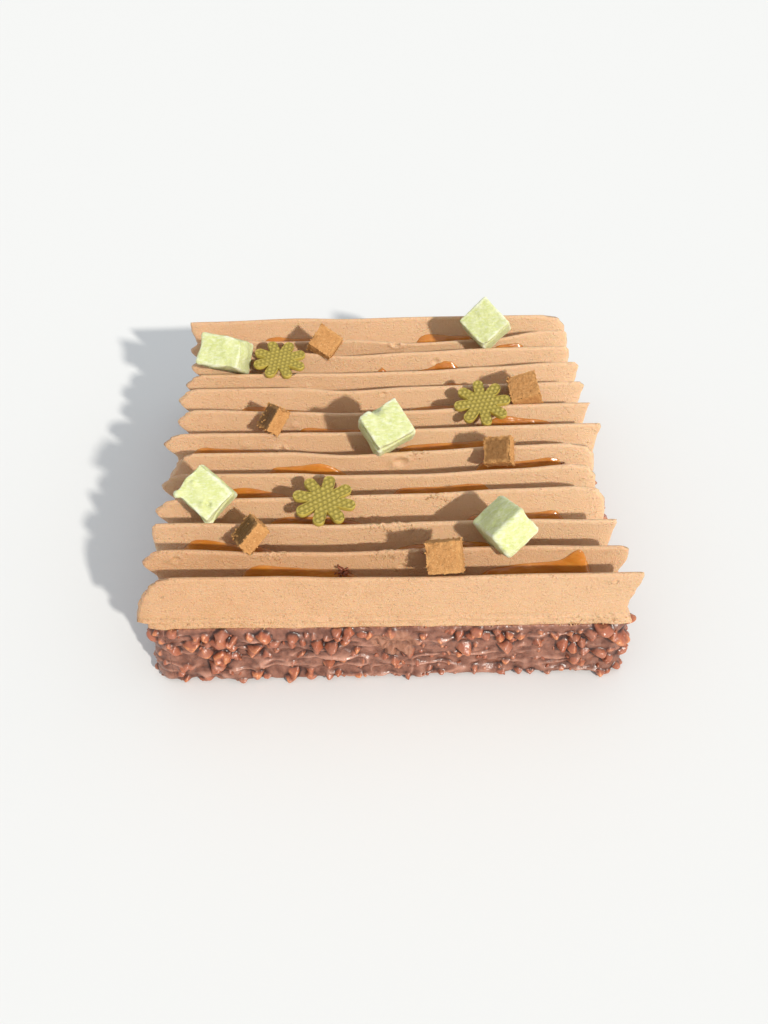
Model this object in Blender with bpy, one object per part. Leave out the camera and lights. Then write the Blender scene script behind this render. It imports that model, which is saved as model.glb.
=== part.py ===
"""A square chocolate royal cake.

A nut-studded, chocolate-coated slab carries thirteen piped rows of milk chocolate cream. Caramel lies
in strands between the rows, and marshmallow cubes, caramel cubes and wafer flowers rest on the crests.
X runs to the right along the rows, Y to the back and Z up. The slab's underside is at zero.
"""

import math
from typing import NamedTuple

import bmesh
import bpy
import numpy as np
from mathutils import Euler, Matrix, Vector

MM = 0.001
GAP = 0.3 * MM

# The slab.
SIDE = 180 * MM
SLAB_HEIGHT = 28.4 * MM
SLAB_SLOPE = -0.018
CORNER_RADIUS = 6 * MM
WALL_WAVE = 0.5 * MM
STRAIGHT_STEPS = 8
CORNER_STEPS = 4

# The chopped nuts in the slab's coating.
NUT_SIZE = 4.4 * MM
NUT_COLUMNS = 48
NUT_LEVELS = 3
NUT_SEED = 21

# The piped rows, from the back to the front.
ROW_COUNT = 13
BACK_CREST = 83.5 * MM
FRONT_CREST = -84.2 * MM
CREST_HEIGHT = 51.0 * MM
CREST_HALF_WIDTH = 0.9 * MM
TRIMMED_FOOT = 4.5 * MM
END_TAPER = 6 * MM
LEFT_NARROWING = 0.5
RIGHT_NARROWING = 0.7
STATIONS = 19
FLANK_HEIGHTS = (0.0, 0.25, 0.55, 0.8, 0.95)

# The strands of caramel that lie against the front of a row.
STRAND_FOOT = 37.4 * MM
STRAND_HALF_DEPTH = 2.3 * MM
STRAND_STATIONS = 7
STRAND_SIDES = 6

# The flowers of thin wafer.
PETALS = 8
FLOWER_RADIUS = 12.4 * MM
PETAL_HALF_WIDTH = 2.3 * MM
WAFER_THICKNESS = 2.2 * MM
POINTS_PER_PETAL = 8

# How far a row's end draws in from its tip, at the foot, at three heights up the flank and at the crest.
END_HEIGHTS = (0.0, 0.45, 0.75, 0.92, 1.0)
NOSE = (5.0, 4.6, 0.0, 3.6, 7.5)
FLARE = (2.0, 3.0, 1.0, 0.5, 0.8)
STUB = (1.6, 1.6, 0.8, 0.2, 0.6)
BLUNT = (0.6, 0.2, 0.0, 0.6, 2.0)
ROUND = (0.5, 0.0, 0.8, 3.6, 11.5)
TIPPED = (3.0, 2.4, 0.9, 0.0, 2.0)
SPIKED = (3.2, 2.6, 1.6, 0.6, 0.0)
SNUB = (1.2, 3.0, 0.2, 0.5, 3.0)
DROOP = (2.5, 0.0, 3.5, 7.0, 10.5)
SWEEP = (2.6, 2.7, 6.2, 9.4, 14.6)

# Where a crest's wander is given, from the left to the right.
WANDER_AT = (-80.0, -42.0, -15.0, 15.0, 50.0, 80.0)


class Row(NamedTuple):
    """One piped row: its tips in mm from the middle, the form of its ends, and how its crest wanders.

    The wander is in mm at the six places of WANDER_AT. A little more than half of it leans the
    crest back, and the rest lifts it. Strands are the stretches of caramel in front of the row: the start,
    the end and the height of the upper edge, in mm.
    """

    left: float
    right: float
    left_end: tuple
    right_end: tuple
    wander: tuple
    strands: tuple


ROWS = (
    Row(-93.6, 91.2, FLARE, ROUND, (2.3, 3.4, 2.2, 2.6, 2.4, 2.0), ((-59, -31, 44.6), (17, 47, 43.8))),
    Row(-91.8, 89.4, NOSE, BLUNT, (0.5, -1.9, -1.5, -5.0, -3.2, 2.2), ((53, 70, 47),)),
    Row(-89.8, 88.0, NOSE, BLUNT, (0.5, 2.4, -1.0, 0.7, 2.4, 2.6), ((15, 37, 46.8),)),
    Row(-90.4, 90.2, NOSE, TIPPED, (0.4, -0.2, -0.8, -0.4, 1.5, 3.6), ()),
    Row(-91.8, 89.8, NOSE, TIPPED, (3.2, 2.7, -0.3, 1.5, 2.0, 2.6), ((-64, -40, 44.6), (8, 37, 43.3))),
    Row(-90.4, 90.0, NOSE, SPIKED, (2.0, -0.5, -2.4, -1.5, 1.0, 1.1), ((-38, -11, 43.6), (41, 74, 46.2))),
    Row(-94.4, 92.0, NOSE, STUB, (-0.2, -0.9, -1.6, -0.3, 0.5, 0.8), ((-85, -46, 44.8), (4, 48, 44.8))),
    Row(-90.7, 88.0, DROOP, ROUND, (0.8, 0.3, -2.4, -0.9, 1.2, 2.0), ((-50, -16, 46.3), (38, 74, 46))),
    Row(-91.0, 86.2, NOSE, ROUND, (1.9, 1.2, -0.9, -1.2, 0.7, 3.0), ((-66, -40, 46.2), (2, 42, 45.6))),
    Row(-91.4, 87.2, NOSE, ROUND, (1.1, 0.8, 1.2, 1.3, 3.0, 3.6), ((-47, -9, 43.4), (30, 70, 43))),
    Row(-90.4, 87.6, BLUNT, STUB, (1.9, 0.0, -1.3, -0.6, -0.5, -1.6), ((-79, -43, 45.2), (4, 42, 42))),
    Row(-92.0, 89.8, NOSE, SNUB, (1.8, -0.8, -1.7, -0.7, -0.4, -1.6), ((-55, -12, 45.4), (35, 74, 44.6))),
    Row(-94.4, 92.2, SWEEP, FLARE, (1.9, 1.3, -0.2, -0.9, -0.6, -1.0), ()),
)


class Topping(NamedTuple):
    """A cube on the rows: the place of its middle and its size in mm, and its turn about X, Y and Z."""

    middle: tuple
    size: tuple
    turn: tuple


MARSHMALLOWS = (
    Topping((-71.6, 49.8, 57.1), (19.6, 14.4, 17.2), (47.4, 1.1, -15.8)),
    Topping((48.9, 65.6, 59.1), (16.3, 16.7, 15.2), (31.7, -34.7, 24.4)),
    Topping((0.7, -8.5, 58.4), (17.1, 16.0, 14.8), (33.9, -15.7, 26.0)),
    Topping((-69.5, -45.4, 58.0), (14.5, 16.8, 13.6), (33.8, -29.3, 38.9)),
    Topping((43.2, -65.6, 56.5), (15.8, 16.9, 13.2), (-21.8, -25.9, 34.4)),
)
CARAMELS = (
    Topping((-26.7, 60.4, 54.1), (12.1, 12.2, 7.9), (27.3, -22.2, 53.9)),
    Topping((-47.2, 5.0, 53.5), (12.6, 11.6, 6.4), (42.8, -24.0, -59.5)),
    Topping((61.9, 21.5, 53.5), (12.8, 13.0, 8.0), (18.9, -17.4, 1.3)),
    Topping((46.4, -19.5, 53.6), (11.3, 11.1, 7.5), (39.2, -15.7, -15.6)),
    Topping((-51.6, -63.0, 53.0), (12.8, 11.7, 6.0), (36.2, -23.6, -66.7)),
    Topping((20.3, -77.7, 54.0), (12.9, 11.8, 9.0), (52.0, -10.0, -5.4)),
)
# Flowers have one size, so only their middle, their tilt and the turn of their first petal are given.
FLOWERS = (
    ((-47.4, 50.1, 52.7), (8.5, 1.2, 22.0)),
    ((42.7, 14.0, 52.7), (12.8, -3.5, 5.6)),
    ((-24.4, -45.5, 52.7), (8.6, -0.1, 34.5)),
)


def clear_scene():
    """Remove whatever the scene holds."""
    for thing in list(bpy.data.objects):
        bpy.data.objects.remove(thing, do_unlink=True)


def finish(name, colour, roughness, metallic=0.0):
    """A Principled material of one colour, given as linear red, green and blue."""
    material = bpy.data.materials.new(name)
    material.use_nodes = True
    shader = material.node_tree.nodes["Principled BSDF"]
    shader.inputs["Base Color"].default_value = (*colour, 1.0)
    shader.inputs["Roughness"].default_value = roughness
    shader.inputs["Metallic"].default_value = metallic
    return material


def add_object(name, mesh, material, collection=None):
    """Put a mesh into the scene, or into a collection, as an object with one material."""
    thing = bpy.data.objects.new(name, mesh)
    mesh.materials.append(material)
    (collection or bpy.context.scene.collection).objects.link(thing)
    return thing


def mesh_from(name, points, faces):
    """A mesh of these points and faces, with its faces turned outwards."""
    mesh = bpy.data.meshes.new(name)
    mesh.from_pydata([tuple(point) for point in points], [], faces)
    shape = bmesh.new()
    shape.from_mesh(mesh)
    bmesh.ops.recalc_face_normals(shape, faces=shape.faces)
    shape.to_mesh(mesh)
    shape.free()
    return mesh


def tube_faces(rings, sides):
    """The faces of a closed tube: quads between its rings of points, and one face at each end."""
    faces = []
    for ring in range(rings - 1):
        for side in range(sides):
            a = ring * sides + side
            b = ring * sides + (side + 1) % sides
            faces.append((a, b, b + sides, a + sides))
    faces.append(tuple(range(sides)))
    faces.append(tuple(range((rings - 1) * sides, rings * sides)))
    return faces


def smooth(mesh, angle):
    """Shade a mesh smooth, with the edges sharper than an angle in degrees kept sharp."""
    mesh.shade_smooth()
    mesh.set_sharp_from_angle(angle=math.radians(angle))


def eased(at, places, values):
    """Values given at places, joined by half waves of a cosine."""
    k = np.clip(np.searchsorted(places, at) - 1, 0, len(places) - 2)
    low, high = np.take(places, k), np.take(places, k + 1)
    share = np.clip((at - low) / (high - low), 0, 1)
    share = 0.5 - 0.5 * np.cos(math.pi * share)
    return np.take(values, k) * (1 - share) + np.take(values, k + 1) * share


def slab_top(x):
    """The height of the slab's top, which falls a little from the left to the right."""
    return SLAB_HEIGHT + SLAB_SLOPE * x


def row_place(number):
    """Y of a row's crest, the back row being number 0."""
    return BACK_CREST + (FRONT_CREST - BACK_CREST) * number / (ROW_COUNT - 1)


def half_width(number, height, side):
    """Half the width of a row at a share of its height: a wide foot, hollow flanks and a thin crest.

    The front row's front flank is trimmed, so its foot is narrower.
    """
    foot = 0.5 * (BACK_CREST - FRONT_CREST) / (ROW_COUNT - 1) - 0.5 * GAP - 0.05 * MM
    if number == ROW_COUNT - 1:
        foot = np.where(np.asarray(side) < 0, TRIMMED_FOOT, foot)
    return CREST_HALF_WIDTH + (foot - CREST_HALF_WIDTH) * (1 - height) ** 1.25


def narrowing(to_end, least):
    """How much of its width a row keeps near an end: all of it, then down to the least in a round curve."""
    inside = np.clip(to_end / END_TAPER, 0, 1)
    return least + (1 - least) * np.sqrt(1 - (1 - inside) ** 2)


def row_point(number, along, height, side):
    """A point on a row's skin.

    along runs from -1 at the left end to 1 at the right one, height from 0 at the foot to 1 at the crest,
    and side is -1 on the front flank, 1 on the back one and 0 along the crest.
    """
    row = ROWS[number]
    left = row.left + eased(height, END_HEIGHTS, row.left_end)
    right = row.right - eased(height, END_HEIGHTS, row.right_end)
    x_mm = 0.5 * (left + right) + 0.5 * (right - left) * along
    narrow = narrowing((x_mm - left) * MM, LEFT_NARROWING) * narrowing((right - x_mm) * MM, RIGHT_NARROWING)
    wander = eased(x_mm, WANDER_AT, row.wander) * MM
    x = x_mm * MM
    foot = slab_top(x) + GAP
    crest = CREST_HEIGHT + 0.4 * wander
    y = row_place(number) + 0.55 * wander * height**1.5 + side * half_width(number, height, side) * narrow
    return np.stack([x, y, foot + (crest - foot) * height], axis=-1)


def row_mesh(number):
    """One piped row as a closed tube of cross sections."""
    places = np.sin(0.5 * math.pi * np.linspace(-1, 1, STATIONS))
    heights = np.array([*FLANK_HEIGHTS, 1.0, *reversed(FLANK_HEIGHTS)])
    sides = np.repeat([-1.0, 0.0, 1.0], [len(FLANK_HEIGHTS), 1, len(FLANK_HEIGHTS)])
    along, height = np.meshgrid(places, heights, indexing="ij")
    points = row_point(number, along, height, np.broadcast_to(sides, along.shape))
    return mesh_from(f"row_{number + 1}", points.reshape(-1, 3), tube_faces(STATIONS, len(heights)))


def strand_mesh(number, start, end, top):
    """A spindle of caramel along the front flank of a row, from start to end and up to the top, in mm."""
    share = np.linspace(-1, 1, STRAND_STATIONS) * 0.98
    x_mm = 0.5 * (start + end) + 0.5 * (end - start) * share
    size = (1 - np.abs(share) ** 2.5) ** 0.5
    row = ROWS[number]
    along = (x_mm - 0.5 * (row.left + row.right)) / (0.5 * (row.right - row.left))
    half_height = 0.5 * (top * MM - STRAND_FOOT)
    height = (STRAND_FOOT + half_height - SLAB_HEIGHT) / (CREST_HEIGHT - SLAB_HEIGHT)
    middle = row_point(number, along, np.full(STRAND_STATIONS, height), -1.0)
    turn = np.linspace(0, 2 * math.pi, STRAND_SIDES, endpoint=False)
    points = np.repeat(middle[:, None, :], STRAND_SIDES, axis=1)
    points[..., 0] = x_mm[:, None] * MM
    points[..., 1] -= 0.3 * STRAND_HALF_DEPTH
    points[..., 1] += STRAND_HALF_DEPTH * size[:, None] * np.cos(turn)
    points[..., 2] += half_height * size[:, None] * np.sin(turn)
    return mesh_from(f"strand_{number + 1}", points.reshape(-1, 3), tube_faces(STRAND_STATIONS, STRAND_SIDES))


def apply_modifiers(thing):
    """Replace an object's mesh by what its modifiers make of it."""
    graph = bpy.context.evaluated_depsgraph_get()
    made = bpy.data.meshes.new_from_object(thing.evaluated_get(graph))
    thing.modifiers.clear()
    thing.data = made


def keep_largest(mesh):
    """Drop loose scraps and the walls of sealed hollows: all but the island with the most points."""
    shape = bmesh.new()
    shape.from_mesh(mesh)
    islands = []
    unseen = set(shape.verts)
    while unseen:
        island = {unseen.pop()}
        edge = list(island)
        while edge:
            here = edge.pop()
            near = {link.other_vert(here) for link in here.link_edges} & unseen
            unseen -= near
            island |= near
            edge.extend(near)
        islands.append(island)
    main = max(islands, key=len)
    scraps = [vert for vert in shape.verts if vert not in main]
    bmesh.ops.delete(shape, geom=scraps, context="VERTS")
    shape.to_mesh(mesh)
    shape.free()


def join_collection(thing, pieces, operation="UNION"):
    """Join to an object, or cut from it, all pieces in a collection, and remove them."""
    modifier = thing.modifiers.new("join", "BOOLEAN")
    modifier.operation = operation
    modifier.operand_type = "COLLECTION"
    modifier.collection = pieces
    modifier.solver = "EXACT"
    modifier.material_mode = "TRANSFER"
    bpy.context.view_layer.update()
    apply_modifiers(thing)
    keep_largest(thing.data)
    for piece in list(pieces.objects):
        bpy.data.objects.remove(piece, do_unlink=True)
    bpy.data.collections.remove(pieces)


def helper_collection(name):
    """A collection for pieces that are joined or cut away."""
    pieces = bpy.data.collections.new(name)
    bpy.context.scene.collection.children.link(pieces)
    return pieces


def slab_outline(inset):
    """Points round the slab: a square with round corners, drawn in by an inset, and its outward normals."""
    steps = STRAIGHT_STEPS + CORNER_STEPS
    side, step = np.divmod(np.arange(4 * steps), steps)
    straight = SIDE - 2 * CORNER_RADIUS
    turn = 0.5 * math.pi * np.clip((step - STRAIGHT_STEPS) / CORNER_STEPS, 0, 1)
    reach = CORNER_RADIUS - inset
    x = straight * (np.minimum(step / STRAIGHT_STEPS, 1) - 0.5) + reach * np.sin(turn)
    y = -0.5 * straight - reach * np.cos(turn)
    angle = 0.5 * math.pi * side
    points = np.stack([x * np.cos(angle) - y * np.sin(angle), x * np.sin(angle) + y * np.cos(angle)], -1)
    facing = turn + angle - 0.5 * math.pi
    return points, np.stack([np.cos(facing), np.sin(facing)], -1)


def slab_mesh():
    """The bare slab: a square block with softly waving walls and rounded lower edges."""
    levels = ((0.0, 1.3), (0.06, -0.3), (0.34, 0.0), (0.66, 0.1), (0.95, 0.2), (1.0, 0.9))
    rings = []
    for level, inset in levels:
        flat, outward = slab_outline(inset * MM)
        wave = np.sin(flat[:, 0] * 95 + 7 * level) + np.sin(flat[:, 1] * 120 - 5 * level)
        flat = flat + outward * (0.5 * WALL_WAVE * wave * np.sin(math.pi * level))[:, None]
        rings.append(np.column_stack([flat, slab_top(flat[:, 0]) * level]))
    return mesh_from("slab", np.concatenate(rings), tube_faces(len(levels), len(rings[0])))


def nut_mesh(draw):
    """One chip of nut: the hull of a few points on a squashed ball."""
    points = draw.normal(size=(8, 3))
    points /= np.linalg.norm(points, axis=1)[:, None]
    points *= 0.5 * NUT_SIZE * draw.uniform(0.75, 1.3, size=(8, 3)) * (1.15, 0.95, 0.8)
    shape = bmesh.new()
    corners = [shape.verts.new(point) for point in points]
    hull = bmesh.ops.convex_hull(shape, input=corners)
    bmesh.ops.delete(shape, geom=hull["geom_interior"], context="VERTS")
    mesh = bpy.data.meshes.new("nut")
    bmesh.ops.recalc_face_normals(shape, faces=shape.faces)
    shape.to_mesh(mesh)
    shape.free()
    return mesh


def add_nuts(material):
    """Chips of nut spread evenly over the slab's four walls, each half sunk, in a collection."""
    pieces = helper_collection("nuts")
    draw = np.random.default_rng(NUT_SEED)
    reach = 0.5 * SIDE - 0.6 * CORNER_RADIUS
    for column in range(NUT_COLUMNS):
        for level in range(NUT_LEVELS):
            side, step = divmod(column, NUT_COLUMNS // 4)
            share = (step + 0.5 * (level % 2) + draw.uniform(0.2, 0.8)) / (NUT_COLUMNS // 4 + 0.5)
            height = (level + draw.uniform(0.28, 0.72)) / NUT_LEVELS
            across = reach * (2 * share - 1)
            place = Vector((across, -0.5 * SIDE + draw.uniform(-0.7, 0.6) * MM, 0))
            place.rotate(Euler((0, 0, side * 0.5 * math.pi)))
            place.z = 2.2 * MM + (slab_top(place.x) - 4.6 * MM) * height
            chip = add_object("nut", nut_mesh(draw), material, pieces)
            chip.location = place
            chip.rotation_euler = draw.uniform(0, 2 * math.pi, 3)
    return pieces


def box_mesh(name, size, grow=0.0):
    """A box of a size in mm about its own middle, grown by a length on every side."""
    mesh = bpy.data.meshes.new(name)
    shape = bmesh.new()
    bmesh.ops.create_cube(shape, size=1.0)
    spread = Matrix.Diagonal([length * MM + 2 * grow for length in size])
    bmesh.ops.transform(shape, matrix=spread.to_4x4(), verts=shape.verts)
    shape.to_mesh(mesh)
    shape.free()
    return mesh


def place_at(thing, middle, turn):
    """Set an object's place, given in mm, and its turn, given in degrees."""
    thing.location = Vector(middle) * MM
    thing.rotation_euler = [math.radians(angle) for angle in turn]


def add_cube(name, topping, material, edge):
    """A topping cube with softened edges."""
    thing = add_object(name, box_mesh(name, topping.size), material)
    place_at(thing, topping.middle, topping.turn)
    bevel = thing.modifiers.new("soft edges", "BEVEL")
    bevel.width = edge
    bevel.segments = 2
    smooth(thing.data, 30)
    return thing


def petal_reach(angle, grow=0.0):
    """How far the flower's outline is from its middle at an angle: eight petals with round tips."""
    half = PETAL_HALF_WIDTH + grow
    centre = FLOWER_RADIUS - PETAL_HALF_WIDTH
    step = 2 * math.pi / PETALS
    off = np.abs((angle + 0.5 * step) % step - 0.5 * step)
    across = np.minimum(centre * np.sin(off), half)
    tip = centre * np.cos(off) + np.sqrt(half**2 - across**2)
    flank = half / np.sin(np.maximum(off, 0.01))
    return np.where(off < math.atan2(half, centre), tip, flank)


def flower_mesh(name, grow=0.0):
    """A flat flower cut from wafer, grown by a length all round."""
    count = PETALS * POINTS_PER_PETAL
    angle = np.arange(count) * 2 * math.pi / count
    reach = petal_reach(angle, grow)
    half = 0.5 * WAFER_THICKNESS + grow
    flat = np.stack([reach * np.cos(angle), reach * np.sin(angle)], -1)
    low = np.column_stack([flat, np.full(count, -half)])
    high = np.column_stack([flat, np.full(count, half)])
    return mesh_from(name, np.concatenate([low, high]), tube_faces(2, count))


def add_toppings(marshmallow, caramel, wafer):
    """All the cubes and flowers, each as its own object."""
    for number, topping in enumerate(MARSHMALLOWS, 1):
        add_cube(f"marshmallow_{number}", topping, marshmallow, 1.0 * MM)
    for number, topping in enumerate(CARAMELS, 1):
        add_cube(f"caramel_{number}", topping, caramel, 0.5 * MM)
    for number, (middle, turn) in enumerate(FLOWERS, 1):
        flower = add_object(f"flower_{number}", flower_mesh("flower"), wafer)
        place_at(flower, middle, turn)
        smooth(flower.data, 40)


def topping_cutters(number, material):
    """Grown copies of the toppings that may press into a row, in a collection, or None."""
    at = row_place(number) / MM
    pieces = helper_collection(f"dents_{number}")
    for topping in (*MARSHMALLOWS, *CARAMELS):
        if abs(topping.middle[1] - at) < 16:
            dent = add_object("dent", box_mesh("dent", topping.size, GAP), material, pieces)
            place_at(dent, topping.middle, topping.turn)
    for middle, turn in FLOWERS:
        if abs(middle[1] - at) < 16:
            dent = add_object("dent", flower_mesh("dent", GAP), material, pieces)
            place_at(dent, middle, turn)
    return pieces


def add_row(number, cream, sauce):
    """One piped row, its strands of caramel joined to it and the toppings' dents pressed into it."""
    row = add_object(f"row_{number + 1:02d}", row_mesh(number), cream)
    if ROWS[number].strands:
        pieces = helper_collection(f"strands_{number}")
        for start, end, top in ROWS[number].strands:
            add_object("strand", strand_mesh(number, start, end, top), sauce, pieces)
        join_collection(row, pieces)
    dents = topping_cutters(number, cream)
    if dents.objects:
        join_collection(row, dents, "DIFFERENCE")
    else:
        bpy.data.collections.remove(dents)
    smooth(row.data, 50)
    return row


def build():
    """Build the whole cake."""
    clear_scene()
    coating = finish("coating", (0.135, 0.046, 0.030), 0.35)
    cream = finish("cream", (0.66, 0.36, 0.19), 0.75)
    sauce = finish("sauce", (0.38, 0.12, 0.02), 0.15)
    marshmallow = finish("marshmallow", (0.72, 0.80, 0.38), 0.85)
    caramel = finish("caramel", (0.50, 0.23, 0.07), 0.8)
    wafer = finish("wafer", (0.36, 0.32, 0.05), 0.8)
    slab = add_object("slab", slab_mesh(), coating)
    join_collection(slab, add_nuts(coating))
    smooth(slab.data, 35)
    for number in range(ROW_COUNT):
        add_row(number, cream, sauce)
    add_toppings(marshmallow, caramel, wafer)


build()
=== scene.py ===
"""Dress the chocolate royal cake: piped cream, glazed nuts, soft caramel, marshmallow and wafer.

Each family of pieces is a class. Its sizes are dataclass fields in metres, its methods work the surfaces
out as whole numpy arrays, and its finish is a small class of its own.
"""
import logging
import math
from dataclasses import dataclass, field
from enum import Enum

import bmesh
import bpy
import numpy as np
from mathutils import Euler, Matrix, Vector


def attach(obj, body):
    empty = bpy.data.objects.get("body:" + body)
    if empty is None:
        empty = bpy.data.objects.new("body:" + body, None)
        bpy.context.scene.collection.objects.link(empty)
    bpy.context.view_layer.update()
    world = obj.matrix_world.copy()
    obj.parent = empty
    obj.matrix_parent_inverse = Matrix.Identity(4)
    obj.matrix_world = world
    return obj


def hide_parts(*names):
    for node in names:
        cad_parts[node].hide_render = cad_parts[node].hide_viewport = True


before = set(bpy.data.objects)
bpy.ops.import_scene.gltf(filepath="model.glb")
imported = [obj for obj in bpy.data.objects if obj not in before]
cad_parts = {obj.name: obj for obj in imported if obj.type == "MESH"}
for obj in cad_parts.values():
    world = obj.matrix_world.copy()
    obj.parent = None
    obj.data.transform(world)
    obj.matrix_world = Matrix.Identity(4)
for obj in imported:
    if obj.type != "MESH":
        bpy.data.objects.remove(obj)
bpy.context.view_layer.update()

MM = 0.001
LOG = logging.getLogger("cake")
Array = np.ndarray
Socket = bpy.types.NodeSocket


# Numbers that vary smoothly in space.


def lattice(cell: Array, seed: int) -> Array:
    """A fixed random number from -1 to 1 for each whole-numbered lattice point.

    Args:
        cell: whole coordinates, one row of three for each point.
        seed: picks one of many such lattices.

    Returns:
        One value a point: the coordinates are multiplied by large primes, mixed and cut to 16 bits.
    """
    mixed = cell[:, 0] * 73856093 ^ cell[:, 1] * 19349663 ^ cell[:, 2] * 83492791 ^ (seed + 7) * 2654435761
    mixed = (mixed ^ (mixed >> 13)) * 1274126177 & 0xFFFFFFFF
    return ((mixed ^ (mixed >> 16)) & 0xFFFF) / 32767.5 - 1


def noise(points: Array, size: float | tuple, seed: int = 0) -> Array:
    """Smooth random variation from -1 to 1.

    Args:
        points: places, shape (..., 3).
        size: how long one swell is, alike in all directions or given for X, Y and Z.
        seed: picks the pattern.

    Returns:
        The eight lattice values round each point, blended by smooth steps.
    """
    shape = points.shape[:-1]
    scaled = points.reshape(-1, 3) / np.broadcast_to(size, 3)
    cell = np.floor(scaled).astype(np.int64)
    part = scaled - cell
    part = part * part * (3 - 2 * part)
    total = np.zeros(len(scaled))
    for corner in np.ndindex(2, 2, 2):
        weight = np.prod(np.where(np.array(corner) == 1, part, 1 - part), axis=1)
        total += weight * lattice(cell + corner, seed)
    return total.reshape(shape)


def layered(points: Array, size: float | tuple, seed: int, layers: int = 3) -> Array:
    """Noise of several sizes added up, each half as long and half as strong as the one before.

    Args:
        points: places, shape (..., 3).
        size: the longest swell.
        seed: picks the pattern.
        layers: how many sizes are added.

    Returns:
        One value a point, from about -1 to 1.
    """
    total = np.zeros(points.shape[:-1])
    for layer in range(layers):
        total += noise(points, np.asarray(size) / 2**layer, seed + 31 * layer) / 2**layer
    return total * 0.6


def eased(at: Array, places: tuple, values: tuple) -> Array:
    """Values given at places, joined by half waves of a cosine.

    Args:
        at: where the value is wanted.
        places: where it is given, in rising order.
        values: what it is there.

    Returns:
        The blended values, constant beyond the first and the last place.
    """
    k = np.clip(np.searchsorted(places, at) - 1, 0, len(places) - 2)
    low, high = np.take(places, k), np.take(places, k + 1)
    share = 0.5 - 0.5 * np.cos(math.pi * np.clip((at - low) / (high - low), 0, 1))
    return np.take(values, k) * (1 - share) + np.take(values, k + 1) * share


def step(value: Array, low: float, high: float) -> Array:
    """A smooth step from 0 at low to 1 at high."""
    share = np.clip((value - low) / (high - low), 0, 1)
    return share * share * (3 - 2 * share)


def softened(values: Array, reach: int) -> Array:
    """The mean of a grid's values over a square of cells about each cell, found by running sums."""
    for axis in (0, 1):
        ends = [(0, 0), (0, 0)]
        ends[axis] = (reach + 1, reach)
        total = np.cumsum(np.pad(values, ends, "edge"), axis=axis)
        count = values.shape[axis]
        upper = np.take(total, np.arange(2 * reach + 1, 2 * reach + 1 + count), axis=axis)
        values = (upper - np.take(total, np.arange(count), axis=axis)) / (2 * reach + 1)
    return values


# Meshes from arrays.


def put_mesh(name: str, points: Array, faces: Array, masks: dict | None = None) -> bpy.types.Object:
    """Put a mesh of four-cornered faces into the scene.

    Args:
        name: the piece's name.
        points: one row of X, Y, Z a vertex.
        faces: one row of four vertex numbers a face. A triangle repeats its last number.
        masks: named values, one a vertex, that the finish reads.

    Returns:
        The new object, its seams and poles closed, facing out and shaded smooth.
    """
    faces = np.asarray(faces)
    corners = np.where(faces[:, 2] == faces[:, 3], 3, 4)
    keep = np.ones(faces.shape, bool)
    keep[:, 3] = corners == 4
    loops = faces[keep].astype(np.int32)
    mesh = bpy.data.meshes.new(name)
    mesh.vertices.add(len(points))
    mesh.vertices.foreach_set("co", np.ascontiguousarray(points, np.float32).ravel())
    mesh.loops.add(len(loops))
    mesh.loops.foreach_set("vertex_index", loops)
    mesh.polygons.add(len(faces))
    starts = np.concatenate([[0], np.cumsum(corners)[:-1]]).astype(np.int32)
    mesh.polygons.foreach_set("loop_start", starts)
    mesh.update(calc_edges=True)
    for mask, values in (masks or {}).items():
        layer = mesh.attributes.new(mask, "FLOAT", "POINT")
        layer.data.foreach_set("value", np.ascontiguousarray(values, np.float32).ravel())
    shape = bmesh.new()
    shape.from_mesh(mesh)
    bmesh.ops.remove_doubles(shape, verts=shape.verts, dist=0.002 * MM)
    bmesh.ops.recalc_face_normals(shape, faces=shape.faces)
    shape.to_mesh(mesh)
    shape.free()
    mesh.shade_smooth()
    thing = bpy.data.objects.new(name, mesh)
    bpy.context.scene.collection.objects.link(thing)
    return thing


def grid_faces(rows: int, columns: int, close_columns: bool = False) -> Array:
    """The faces of a grid of points numbered row by row.

    Args:
        rows: points down the grid.
        columns: points across it.
        close_columns: also join the last column to the first.

    Returns:
        One row of four vertex numbers a face.
    """
    across = np.arange(columns if close_columns else columns - 1)
    start, j = (part.ravel() for part in np.meshgrid(np.arange(rows - 1) * columns, across, indexing="ij"))
    right = (j + 1) % columns
    return np.stack([start + j, start + right, start + columns + right, start + columns + j], -1)


def grid_normals(points: Array) -> Array:
    """Unit normals of a grid of points, from the cross product of its two directions.

    Args:
        points: shape (rows, columns, 3).

    Returns:
        The same shape, facing the side from which rows run down and columns run right.
    """
    cross = np.cross(np.gradient(points, axis=1), np.gradient(points, axis=0))
    return cross / np.maximum(np.linalg.norm(cross, axis=-1, keepdims=True), 1e-12)


def turn_matrix(turn: tuple) -> Array:
    """The turn by angles in degrees about X, Y and Z, in that order, as a matrix."""
    return np.array(Euler([math.radians(angle) for angle in turn]).to_matrix())


def turned(points: Array, turn: tuple, middle: tuple) -> Array:
    """Points turned by angles in degrees about X, Y and Z, then moved.

    Args:
        points: shape (..., 3).
        turn: the three angles, applied in the order X, Y, Z.
        middle: where the zero point goes, in mm.

    Returns:
        The placed points.
    """
    return points @ turn_matrix(turn).T + np.array(middle) * MM


def join(parts: list[tuple[Array, Array]]) -> tuple[Array, Array]:
    """Several meshes as one.

    Args:
        parts: pairs of points and faces.

    Returns:
        All points, and all faces with their numbers moved along.
    """
    starts = np.cumsum([0] + [len(points) for points, _ in parts[:-1]])
    faces = [faces + start for (_, faces), start in zip(parts, starts)]
    return np.concatenate([points for points, _ in parts]), np.concatenate(faces)


# Finishes.


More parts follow.
